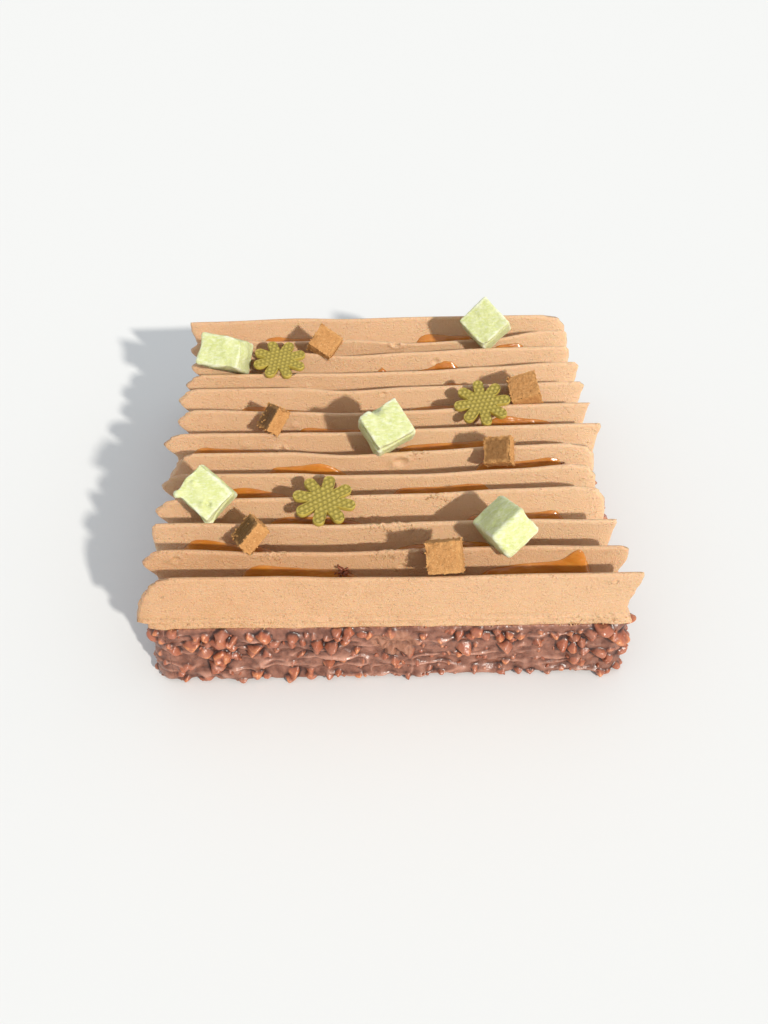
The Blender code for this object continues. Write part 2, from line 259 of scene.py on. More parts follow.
class Graph:
    """The nodes of one material, built one at a time."""

    def __init__(self, name: str) -> None:
        """Start an empty Principled material.

        Args:
            name: the material's name.
        """
        self.material = bpy.data.materials.new(name)
        self.material.use_nodes = True
        self.tree = self.material.node_tree
        self.shader = self.tree.nodes["Principled BSDF"]
        self.place = self.add("ShaderNodeTexCoord").outputs["Object"]

    def add(self, kind: str, values: dict | None = None, **settings: object) -> bpy.types.Node:
        """Add a node.

        Args:
            kind: its Blender type.
            values: what its inputs hold or are linked to, by name or number.
            settings: its own settings.

        Returns:
            The node.
        """
        node = self.tree.nodes.new(kind)
        for key, value in settings.items():
            setattr(node, key, value)
        for key, value in (values or {}).items():
            if isinstance(value, Socket):
                self.tree.links.new(value, node.inputs[key])
            else:
                node.inputs[key].default_value = value
        return node

    def noise(
        self, size: float, detail: float = 3, rough: float = 0.55, stretch: tuple = (1, 1, 1)
    ) -> Socket:
        """Noise on Object coordinates.

        Args:
            size: how long one swell is, in metres.
            detail: how many finer layers it has.
            rough: how strong they are.
            stretch: how much longer it is along X, Y and Z.

        Returns:
            The noise's value, from 0 to 1.
        """
        scale = tuple(1 / part for part in stretch)
        place = self.add("ShaderNodeMapping", {"Vector": self.place, "Scale": scale}).outputs[0]
        values = {"Vector": place, "Scale": 1 / size, "Detail": detail, "Roughness": rough}
        return self.add("ShaderNodeTexNoise", values).outputs["Fac"]

    def spread(self, value: Socket, low: float, high: float, start: float = 0.0, end: float = 1.0) -> Socket:
        """A value between low and high carried onto start to end, and held there beyond them."""
        values = {"Value": value, "From Min": low, "From Max": high, "To Min": start, "To Max": end}
        return self.add("ShaderNodeMapRange", values).outputs["Result"]

    def mask(self, name: str) -> Socket:
        """The piece's own values of that name."""
        return self.add("ShaderNodeAttribute", attribute_name=name).outputs["Fac"]

    def total(self, first: Socket, second: Socket) -> Socket:
        """The sum of two values, held between 0 and 1."""
        return self.add("ShaderNodeMath", {0: first, 1: second}, operation="ADD", use_clamp=True).outputs[0]

    def mix(self, share: Socket | float, first: object, second: object) -> Socket:
        """Two colours, sockets or three numbers each, blended by a share."""
        node = self.add("ShaderNodeMix", data_type="RGBA")
        for socket, value in ((0, share), (6, first), (7, second)):
            if isinstance(value, Socket):
                self.tree.links.new(value, node.inputs[socket])
            else:
                node.inputs[socket].default_value = (*value, 1) if isinstance(value, tuple) else value
        return node.outputs[2]

    def bump(self, height: Socket, depth: float, under: Socket | None = None) -> Socket:
        """Relief from a height of 0 to 1.

        Args:
            height: the height.
            depth: what a height of 1 is, in metres.
            under: relief that this lies on.

        Returns:
            The normal.
        """
        node = self.add("ShaderNodeBump", {"Height": height, "Distance": depth, "Strength": 1.0})
        if under is not None:
            self.tree.links.new(under, node.inputs["Normal"])
        return node.outputs["Normal"]

    def finish(
        self, colour: object, rough: object, normal: Socket | None = None, glow: tuple = (), **fixed: float
    ) -> bpy.types.Material:
        """Set the shader.

        Args:
            colour: base colour, a socket or three numbers.
            rough: roughness, a socket or a number.
            normal: the relief's normal.
            glow: how strongly light passes under the skin, and how far in mm for red, green and blue.
            fixed: other inputs, spaces in their names written as underscores.

        Returns:
            The material.
        """
        values = {"Base Color": (*colour, 1) if isinstance(colour, tuple) else colour, "Roughness": rough}
        if normal is not None:
            values["Normal"] = normal
        if glow:
            reach = tuple(part * MM for part in glow[1])
            values |= {"Subsurface Weight": glow[0], "Subsurface Radius": reach, "Subsurface Scale": 1.0}
        values |= {key.replace("_", " "): value for key, value in fixed.items()}
        for key, value in values.items():
            if isinstance(value, Socket):
                self.tree.links.new(value, self.shader.inputs[key])
            else:
                self.shader.inputs[key].default_value = value
        return self.material


@dataclass(frozen=True)
class CreamFinish:
    """Piped milk chocolate cream: matte, finely grained, faint drag lines along the piping, a painted sheen.
    """

    light: tuple = (0.605, 0.338, 0.166)
    deep: tuple = (0.575, 0.312, 0.147)
    # pale: the painted sheen's colour
    pale: tuple = (0.715, 0.465, 0.268)
    # speck: the colour of painted highlight specks
    speck: tuple = (0.86, 0.60, 0.36)
    fleck: tuple = (0.52, 0.27, 0.12)
    grain: float = 0.45 * MM
    shine: float = 0.85
    glow: tuple = (0.3, (1.6, 0.6, 0.25))

    def material(self) -> bpy.types.Material:
        """Two near tones in soft clouds, paler by the mask pale as a painted sheen, with painted highlight
        specks and dark flecks.

        The bump adds up drag lines, coarse grain, dots, pores and fine grain.
        """
        graph = Graph("cream")
        clouds = graph.spread(graph.noise(9 * MM, 2), 0.35, 0.65)
        # painted sheen: paler by the mask pale, more to the right and at the back
        colour = graph.mix(graph.mask("pale"), graph.mix(clouds, self.light, self.deep), self.pale)
        # painted highlight specks: small pale spots in the fine grain
        specks = graph.spread(graph.noise(self.grain, 2), 0.58, 0.74, 0.0, 0.45)
        colour = graph.mix(specks, colour, self.speck)
        flecks = graph.spread(graph.noise(0.7 * MM, 1), 0.36, 0.24, 0.0, 0.35)
        colour = graph.mix(flecks, colour, self.fleck)
        lines = graph.bump(graph.noise(0.5 * MM, 2, 0.6, (30, 1, 1)), 0.05 * MM)
        dots = graph.spread(graph.noise(0.9 * MM, 1, 0.5, (1.5, 1, 1)), 0.60, 0.82)
        coarse = graph.bump(dots, 0.16 * MM, graph.bump(graph.noise(1.1 * MM, 2, 0.5), 0.18 * MM, lines))
        pores = graph.bump(graph.spread(graph.noise(0.8 * MM, 1), 0.36, 0.26), -0.22 * MM, coarse)
        fine = graph.bump(graph.noise(self.grain, 4, 0.6), 0.42 * MM, pores)
        rough = graph.spread(graph.noise(3 * MM), 0.3, 0.7, 0.42, 0.54)
        return graph.finish(colour, rough, fine, self.glow, Specular_IOR_Level=self.shine)


@dataclass(frozen=True)
class GlazeFinish:
    """Milk chocolate coating: satin brown, redder over nuts, orange where thin, with painted shade and sheen.
    """

    thick: tuple = (0.130, 0.044, 0.025)
    pale: tuple = (0.300, 0.126, 0.081)
    # proud: colour of the painted sheen where the glaze stands out
    painted_raised_sheen: tuple = (0.540, 0.268, 0.188)
    nut: tuple = (0.365, 0.098, 0.044)
    thin: tuple = (0.620, 0.235, 0.095)
    # crevice: colour of the painted shade in hollows and at the foot
    painted_crevice_shade: tuple = (0.035, 0.009, 0.005)
    dry: tuple = (0.34, 0.150, 0.090)
    shine: float = 0.55
    glow: tuple = (0.1, (0.6, 0.2, 0.1))

    def material(self) -> bpy.types.Material:
        """Brown clouds broken by fine noise, under masks nut, thin, scraped, deep (painted shade), proud
        (painted sheen).
        """
        graph = Graph("coating")
        clouds = graph.spread(graph.noise(5 * MM, 4, 0.6), 0.38, 0.64)
        colour = graph.mix(clouds, self.thick, self.pale)
        # painted sheen: paler where the glaze stands out above the mean about it
        colour = graph.mix(graph.mask("painted_raised_sheen"), colour, self.painted_raised_sheen)
        colour = graph.mix(graph.mask("nut"), colour, self.nut)
        broken = graph.spread(graph.noise(0.8 * MM, 3), 0.3, 0.7, -0.5, 0.1)
        colour = graph.mix(graph.total(graph.mask("thin"), broken), colour, self.thin)
        colour = graph.mix(graph.mask("scraped"), colour, self.dry)
        # painted shade: darker by the mask deep in hollows, round the nuts and at the foot
        colour = graph.mix(graph.mask("deep"), colour, self.painted_crevice_shade)
        rough = graph.spread(graph.mask("scraped"), 0, 1, 0, 0.35)
        rough = graph.total(rough, graph.spread(graph.noise(2.5 * MM, 3), 0.3, 0.7, 0.27, 0.42))
        swells = graph.bump(graph.noise(3 * MM, 2), 0.5 * MM)
        normal = graph.bump(graph.noise(0.6 * MM, 3), 0.06 * MM, swells)
        return graph.finish(colour, rough, normal, self.glow, Specular_IOR_Level=self.shine)


@dataclass(frozen=True)
class SauceFinish:
    """Soft caramel: glossy amber that glows a little where it is thin."""

    body: tuple = (0.56, 0.212, 0.032)
    deep: tuple = (0.45, 0.150, 0.017)
    rough: float = 0.22
    coat: float = 0.25
    coat_rough: float = 0.12
    glow: tuple = (0.4, (2.4, 1.0, 0.3))

    def material(self) -> bpy.types.Material:
        """Two ambers in long clouds under a clear coat."""
        graph = Graph("sauce")
        clouds = graph.spread(graph.noise(4 * MM, 2, 0.5, (3, 1, 1)), 0.35, 0.65)
        colour = graph.mix(clouds, self.body, self.deep)
        normal = graph.bump(graph.noise(2.4 * MM, 2, 0.5, (2, 1, 1)), 0.5 * MM)
        coat = {"Coat_Weight": self.coat, "Coat_Roughness": self.coat_rough}
        return graph.finish(colour, self.rough, normal, self.glow, **coat)


@dataclass(frozen=True)
class MarshmallowFinish:
    """Pale green marshmallow with starch on its edges and in streaks."""

    body: tuple = (0.630, 0.650, 0.335)
    deep: tuple = (0.555, 0.590, 0.245)
    starch: tuple = (0.760, 0.775, 0.620)
    rough: float = 0.85
    shine: float = 0.25
    glow: tuple = (0.3, (1.4, 1.5, 0.7))

    def material(self) -> bpy.types.Material:
        """Clouded green whitened by the mask starch, with a fibrous bump."""
        graph = Graph("marshmallow")
        clouds = graph.spread(graph.noise(2.6 * MM, 3), 0.36, 0.64)
        colour = graph.mix(clouds, self.body, self.deep)
        dust = graph.spread(graph.noise(1.0 * MM, 4, 0.7, (2.5, 1, 1)), 0.42, 0.72, 0.0, 0.8)
        share = graph.spread(graph.total(graph.mask("starch"), dust), 0.15, 1.1)
        colour = graph.mix(share, colour, self.starch)
        wrinkle = graph.bump(graph.noise(1.1 * MM, 3, 0.6, (2.2, 1, 1)), 0.6 * MM)
        normal = graph.bump(graph.noise(0.4 * MM, 3, 0.6), 0.12 * MM, wrinkle)
        return graph.finish(colour, self.rough, normal, self.glow, Specular_IOR_Level=self.shine)


@dataclass(frozen=True)
class CaramelFinish:
    """Dry grainy caramel, with faces that are darker and smoother where it was cut."""

    body: tuple = (0.590, 0.288, 0.104)
    deep: tuple = (0.450, 0.205, 0.064)
    cut: tuple = (0.150, 0.064, 0.014)
    crust: tuple = (0.66, 0.35, 0.125)
    streak: tuple = (0.30, 0.14, 0.04)
    pit: tuple = (0.24, 0.105, 0.033)
    speck: tuple = (0.78, 0.47, 0.20)
    shine: float = 0.25

    def material(self) -> bpy.types.Material:
        """Grainy tan with pits and pale specks, dark by the mask cut, pale by the mask crust, crumbly."""
        graph = Graph("caramel")
        clouds = graph.spread(graph.noise(1.4 * MM, 4, 0.65), 0.34, 0.68)
        colour = graph.mix(clouds, self.body, self.deep)
        streaks = graph.spread(graph.noise(1.1 * MM, 2, 0.5, (3, 1, 1)), 0.4, 0.7, 0.0, 0.3)
        dark = graph.mix(streaks, self.cut, self.streak)
        pits = graph.spread(graph.noise(0.6 * MM, 3, 0.6), 0.42, 0.32, 0.0, 0.6)
        colour = graph.mix(pits, colour, self.pit)
        specks = graph.spread(graph.noise(0.7 * MM, 3), 0.57, 0.67, 0.0, 0.7)
        colour = graph.mix(specks, colour, self.speck)
        colour = graph.mix(graph.mask("cut"), colour, dark)
        colour = graph.mix(graph.mask("crust"), colour, self.crust)
        coarse = graph.bump(graph.noise(1.6 * MM, 3, 0.6), 0.5 * MM)
        normal = graph.bump(graph.noise(0.6 * MM, 4, 0.7), 0.45 * MM, coarse)
        rough = graph.spread(graph.mask("cut"), 0, 1, 0.78, 0.4)
        return graph.finish(colour, rough, normal, Specular_IOR_Level=self.shine)


@dataclass(frozen=True)
class WaferFinish:
    """Green wafer with a satin finish whose roughness varies in soft patches."""

    body: tuple = (0.520, 0.405, 0.080)
    # deep: colour of darker patches and of the shade painted into the hollows
    deep: tuple = (0.300, 0.228, 0.034)

    def material(self) -> bpy.types.Material:
        """Olive green, deeper in the hollows by the mask hollow, which paints shade into them."""
        graph = Graph("wafer")
        clouds = graph.spread(graph.noise(1.2 * MM, 4, 0.6), 0.3, 0.7, 0.0, 0.5)
        # painted shade: deeper in the waffle's hollows by the mask hollow, and in random patches
        colour = graph.mix(graph.total(graph.mask("hollow"), clouds), self.body, self.deep)
        normal = graph.bump(graph.noise(0.35 * MM, 3), 0.05 * MM)
        rough = graph.spread(graph.noise(1.5 * MM), 0.3, 0.7, 0.36, 0.52)
        return graph.finish(colour, rough, normal)


class Paint(Enum):
    """Each material slot of the record and its finish."""

    CREAM = ("cream", CreamFinish())
    COATING = ("coating", GlazeFinish())
    SAUCE = ("sauce", SauceFinish())
    MARSHMALLOW = ("marshmallow", MarshmallowFinish())
    CARAMEL = ("caramel", CaramelFinish())
    WAFER = ("wafer", WaferFinish())

    @property
    def slot(self) -> str:
        """The slot's name."""
        return self.value[0]


# The forms.


class EndForm(Enum):
    """How far a row's end draws in from its tip, in mm, at heights from the foot at 0 to the crest at 1."""

    NOSE = ((0.0, 5.0), (0.45, 4.6), (0.75, 0.0), (0.92, 3.6), (1.0, 7.5))
    FLARE = ((0.0, 1.6), (0.19, 3.9), (0.38, 3.4), (0.6, 1.9), (0.82, 0.4), (0.92, 0.2), (1.0, 0.6))
    STUB = ((0.0, 1.6), (0.45, 1.6), (0.75, 0.8), (0.92, 0.2), (1.0, 0.6))
    BLUNT = ((0.0, 0.6), (0.45, 0.2), (0.75, 0.0), (0.92, 0.6), (1.0, 2.0))
    ROUND = ((0.0, 0.5), (0.45, 0.0), (0.75, 0.8), (0.92, 3.6), (1.0, 11.5))
    TIPPED = ((0.0, 3.0), (0.45, 2.4), (0.75, 0.9), (0.92, 0.0), (1.0, 2.0))
    SPIKED = ((0.0, 3.2), (0.45, 2.6), (0.75, 1.6), (0.92, 0.6), (1.0, 0.0))
    SNUB = ((0.0, 1.2), (0.45, 3.0), (0.75, 0.2), (0.92, 0.5), (1.0, 3.0))
    DROOP = ((0.0, 2.5), (0.45, 0.0), (0.75, 3.5), (0.92, 7.0), (1.0, 10.5))
    SWEEP = (
        (0.0, 4.2), (0.13, 4.4), (0.18, 0.5), (0.38, 1.7), (0.57, 3.6), (0.8, 6.8), (0.92, 9.8), (1.0, 15.0),
    )

    def draw(self, height: Array) -> Array:
        """How far the end draws in at a share of the row's height."""
        places, values = zip(*self.value)
        return eased(height, places, values)


Outline = tuple[tuple[float, float], ...]


@dataclass(frozen=True)
class Line:
    """One piped row: its tips in mm from the middle, the forms of its ends and its crest's wander.

    Each strand of caramel in front of it is given by its upper edge: X and Z in mm at a few places. Torn
    gives the stretches of X in which the crest is ragged.
    """

    left: float
    right: float
    left_end: EndForm
    right_end: EndForm
    wander: tuple
    strands: tuple[Outline, ...] = ()
    torn: tuple = ()


LINES = (
    Line(-93.6, 91.2, EndForm.FLARE, EndForm.ROUND, (2.3, 3.4, 2.2, 2.6, 2.4, 2.0), (
        ((-60, 41.5), (-56, 44.4), (-51, 44.9), (-43, 43.5), (-36, 43.6), (-30, 43.2), (-26, 41)),
        ((17, 41), (19, 43.1), (22, 44.1), (26, 44.1), (34, 43.1), (43, 42.8), (47, 41)),
    )),
    Line(-91.8, 89.4, EndForm.NOSE, EndForm.BLUNT, (0.5, -1.9, -1.5, -5.0, -3.2, 2.2), (
        ((51, 44), (56, 46.7), (62, 47.1), (66, 46.9), (70, 44.5)),
    )),
    Line(-89.8, 88.0, EndForm.NOSE, EndForm.BLUNT, (0.5, 2.4, -1.0, 0.7, 2.4, 2.6), (
        ((-4, 42), (0, 44.8), (3, 42)),
        ((13, 42), (22, 43.8), (26, 46.1), (29, 47.2), (33, 46.6), (38, 42)),
    )),
    Line(-90.4, 90.2, EndForm.NOSE, EndForm.TIPPED, (0.4, -0.2, -0.8, -0.4, 1.5, 3.6), (
        ((26, 43), (31, 45.3), (36, 44.4), (39, 43)),
    )),
    Line(-91.8, 89.8, EndForm.NOSE, EndForm.TIPPED, (3.2, 2.7, -0.3, 1.5, 2.0, 2.6), (
        ((-66, 43), (-62, 44.8), (-58, 44.9), (-53, 44.4), (-47, 43.3), (-33, 41.9), (-22, 40.5)),
        ((7, 40.5), (16, 42.5), (24, 43.1), (37, 43.2), (41, 41)),
    )),
    Line(-90.4, 90.0, EndForm.NOSE, EndForm.SPIKED, (2.0, -0.5, -2.4, -1.5, 1.0, 1.1), (
        ((-39, 41.5), (-36, 43.5), (-33, 43.8), (-21, 42.9), (-11, 42.7), (-7, 41)),
        ((41, 42.6), (46, 44.5), (50, 46.6), (54, 46.9), (60, 45.5), (67, 44.9), (72, 44), (75, 42.6)),
    )),
    Line(-94.4, 92.0, EndForm.NOSE, EndForm.STUB, (-0.2, -0.9, -1.6, -0.3, 0.5, 0.8), (
        ((-86, 40), (-80, 44.5), (-77, 45.2), (-71, 44.5), (-53, 43.2), (-45, 41.5)),
        ((3, 40), (7, 43.3), (11, 44.1), (22, 44.6), (33, 44.8), (42, 45.2), (50, 44), (54, 41)),
    )),
    Line(-90.7, 88.0, EndForm.DROOP, EndForm.ROUND, (0.8, 0.3, -2.4, -0.9, 1.2, 2.0), (
        ((-51, 42), (-46, 45.3), (-43, 45.2), (-34, 45.6), (-31, 46.6), (-26, 46.8), (-23, 45.6),
         (-15, 41.5)),
        ((37, 41), (39, 45), (42, 46.1), (55, 44.9), (62, 45.5), (67, 46.4), (72, 46.2), (75, 42.5)),
    ), ((10, 16),)),
    Line(-91.0, 86.2, EndForm.NOSE, EndForm.ROUND, (1.9, 1.2, -0.9, -1.2, 0.7, 3.0), (
        ((-68, 43), (-62, 46.1), (-58, 46.6), (-54, 46.1), (-49, 44.6), (-42, 43), (-38, 41)),
        ((1, 41.5), (5, 45), (11, 45.1), (24, 45.2), (33, 46), (40, 45.9), (43, 43)),
    )),
    Line(-91.4, 87.2, EndForm.NOSE, EndForm.ROUND, (1.1, 0.8, 1.2, 1.3, 3.0, 3.6), (
        ((-48, 40.5), (-44, 43.3), (-39, 43.8), (-22, 42.7), (-16, 41.8), (-8, 39.5)),
        ((30, 40), (34, 42.1), (56, 42.5), (62, 43), (66, 43.7), (68, 43), (71, 39)),
    ), ((17, 23),)),
    Line(-90.4, 87.6, EndForm.BLUNT, EndForm.STUB, (1.9, 0.0, -1.3, -0.6, -0.5, -1.6), (
        ((-80, 40.5), (-77, 44.4), (-74, 45.7), (-68, 45.3), (-59, 43.2), (-49, 42.2), (-42, 39.5)),
        ((2, 39.8), (9, 41.3), (29, 42.3), (37, 41.8), (43, 39.8)),
    ), ((-8, 9),)),
    Line(-92.0, 89.8, EndForm.NOSE, EndForm.SNUB, (1.8, -0.8, -1.7, -0.7, -0.4, -1.6), (
        ((-56, 40.5), (-54, 43.9), (-51, 45.4), (-47, 46.1), (-41, 45), (-28, 43.8), (-20, 43.4),
         (-11, 40.5)),
        ((34, 39.5), (37, 41.6), (49, 43.6), (58, 44.1), (64, 44.8), (67, 47), (69, 49.9), (72, 50.2),
         (74.5, 44), (76, 39)),
    ), ((-46, -38), (-5, 14))),
    Line(-94.4, 92.2, EndForm.SWEEP, EndForm.FLARE, (1.9, 1.3, -0.2, -0.9, -0.6, -1.0)),
)

# Small marks in the cream: row, X in mm, share of the height, width in mm, depth in mm (a bump if below 0).
MARKS = (
    (2, 6.8, 0.97, 1.0, 1.3), (3, 25.0, 0.81, 1.0, 0.7), (4, -34.8, 0.73, 1.0, -0.4),
    (5, -0.1, 0.92, 0.7, 0.7),
    (6, -39.0, 0.73, 1.3, -0.45), (7, -44.0, 0.66, 0.8, 1.1), (7, -46.4, 0.67, 1.6, -0.5),
    (7, -58.9, 0.75, 1.7, -0.5), (8, 6.4, 0.82, 1.5, 1.0), (12, -78.9, 0.85, 0.9, 1.0),
    (12, -80.6, 0.86, 1.1, -0.5), (12, 4.8, 0.70, 0.9, 1.1), (13, 82.0, 0.86, 0.5, 0.5),
    (13, -83.2, 0.64, 0.6, 0.5), (13, 20.0, 0.80, 0.6, -0.3), (13, -38.0, 0.33, 0.9, -0.4),
)


@dataclass(frozen=True)
class Cube:
    """A topping cube: the place of its middle and its size in mm, and its turn about X, Y and Z.

    Cut is how dark its cut face is, and cut_way the direction that this face looks in. Groove is the share
    of its half height at which its upper layer ends, and below is how far what lies under it stands out.
    Each mark is a spot in shares of the half size, a width and a height, in mm. Softer is how much rounder
    than others its edges are, and crumbs is how many crumbs lie on its upper face.
    """

    middle: tuple
    size: tuple
    turn: tuple
    cut: float = 0.0
    cut_way: tuple = (-0.62, 0.2, 0.76)
    groove: float | None = None
    below: float = 0.0
    marks: tuple = ()
    softer: float = 0.0
    crumbs: int = 0


MARSHMALLOWS = (
    Cube((-71.6, 49.8, 57.1), (19.6, 14.4, 17.2), (47.4, 1.1, -15.8), softer=0.5, marks=(
        ((-1, 0.2, 0.8), 3, -0.9), ((0.5, -1, 0.9), 2.2, -0.9), ((-0.2, -1, 0.7), 3, 0.8),
        ((1, 1, 0.8), 4, -2.2), ((1, 0.1, 0.2), 4, 1.3), ((1, -0.9, 1), 2.5, -1.0), ((-1, -0.8, 1), 2.5, 0.8),
        ((0.8, 0.2, 1), 3, -0.7),
    )),
    Cube((48.9, 65.6, 59.1), (16.3, 16.7, 15.2), (31.7, -34.7, 24.4), groove=0.6, below=0.1, marks=(
        ((0.4, 0.2, 1), 4, 0.3), ((-0.6, -0.5, 1), 3, -0.3), ((-1, -1, 0.8), 2.6, -1.6),
    )),
    Cube((0.7, -8.5, 58.4), (17.1, 16.0, 14.8), (33.9, -15.7, 26.0), groove=0.5, below=0.45, marks=(
        ((-0.1, 1, 1), 2.1, -3.2), ((-0.45, 1, 1), 1.6, 0.7), ((-1, -0.6, -0.4), 3, 0.8),
        ((-0.8, -1, 0.9), 2.0, -1.2), ((0.1, 0.1, 1), 1.2, -0.4), ((1, -1, 0.8), 1.6, -0.6),
    )),
    Cube((-69.5, -45.4, 58.0), (14.5, 16.8, 13.6), (33.8, -29.3, 38.9), groove=0.35, below=0.4, marks=(
        ((-1, 1, 0.7), 4.2, -2.4), ((-1, 0.85, 0.75), 2.1, 3.4), ((-0.3, -0.52, 1), 1.0, -2.0),
        ((-0.48, -0.38, 1), 1.3, 1.3), ((0, 0.57, 1), 1.0, 0.8), ((-1, -1, 0.2), 3, 1.0),
        ((-0.4, 0.5, 1), 3, -0.6), ((0.6, 0.9, 1), 3, -0.7),
    )),
    Cube((43.2, -65.6, 56.5), (15.8, 16.9, 13.2), (-21.8, -25.9, 34.4), softer=0.8, marks=(
        ((0.2, 0.1, 1), 5, 0.4), ((1, -0.7, 0.4), 3, -0.9), ((-0.4, 0.6, 1), 3, -0.4),
    )),
)
CARAMELS = (
    Cube((-26.7, 60.4, 54.1), (12.1, 12.2, 7.9), (27.3, -22.2, 53.9), marks=(
        ((-0.4, 1, 0.8), 1.4, -1.0), ((1, 1, 1), 1.5, 0.7), ((-1, -0.2, 0.5), 1.5, -0.8),
    )),
    Cube((-47.2, 5.0, 53.5), (12.6, 11.6, 6.4), (42.8, -24.0, -59.5), cut=1.0, crumbs=10, marks=(
        ((0.1, 0, 1), 3.5, -0.7), ((1, 1, 0.2), 1.6, -0.8), ((1, 0.5, 0.1), 1.2, -0.5),
    )),
    Cube((61.9, 21.5, 53.5), (12.8, 13.0, 8.0), (18.9, -17.4, 1.3), marks=(
        ((-1, 0.9, 1), 2, -0.7), ((1, -1, 1), 1.4, -0.6),
    )),
    Cube(
        (46.4, -19.5, 53.6), (11.3, 11.1, 7.5), (39.2, -15.7, -15.6), cut=0.7, cut_way=(-0.37, -0.55, 0.75),
        marks=(
            ((1, 0.8, 0.2), 1.5, 0.6), ((1, -0.4, 0), 1.2, 0.6), ((0.8, -0.5, 1), 1.4, -0.6),
            ((1, 1, 1), 1.2, 0.5),
        ),
    ),
    Cube((-51.6, -63.0, 53.0), (12.8, 11.7, 6.0), (36.2, -23.6, -66.7), cut=1.0, crumbs=22),
    Cube((20.3, -77.7, 54.0), (12.9, 11.8, 9.0), (52.0, -10.0, -5.4), marks=(
        ((-0.6, 1, 1), 1.5, -0.8), ((1, 0.3, 1), 1.2, -0.6), ((-1, 0.4, 1), 1.2, -0.5),
        ((0.5, 1, 0.8), 1.2, 0.5),
    )),
)
# Each flower's middle in mm, and its turn about X, Y and Z.
FLOWERS = (
    ((-47.4, 50.1, 52.7), (8.5, 1.2, 22.0)),
    ((42.7, 14.0, 52.7), (12.8, -3.5, 5.6)),
    ((-24.4, -45.5, 52.7), (8.6, -0.1, 34.5)),
)


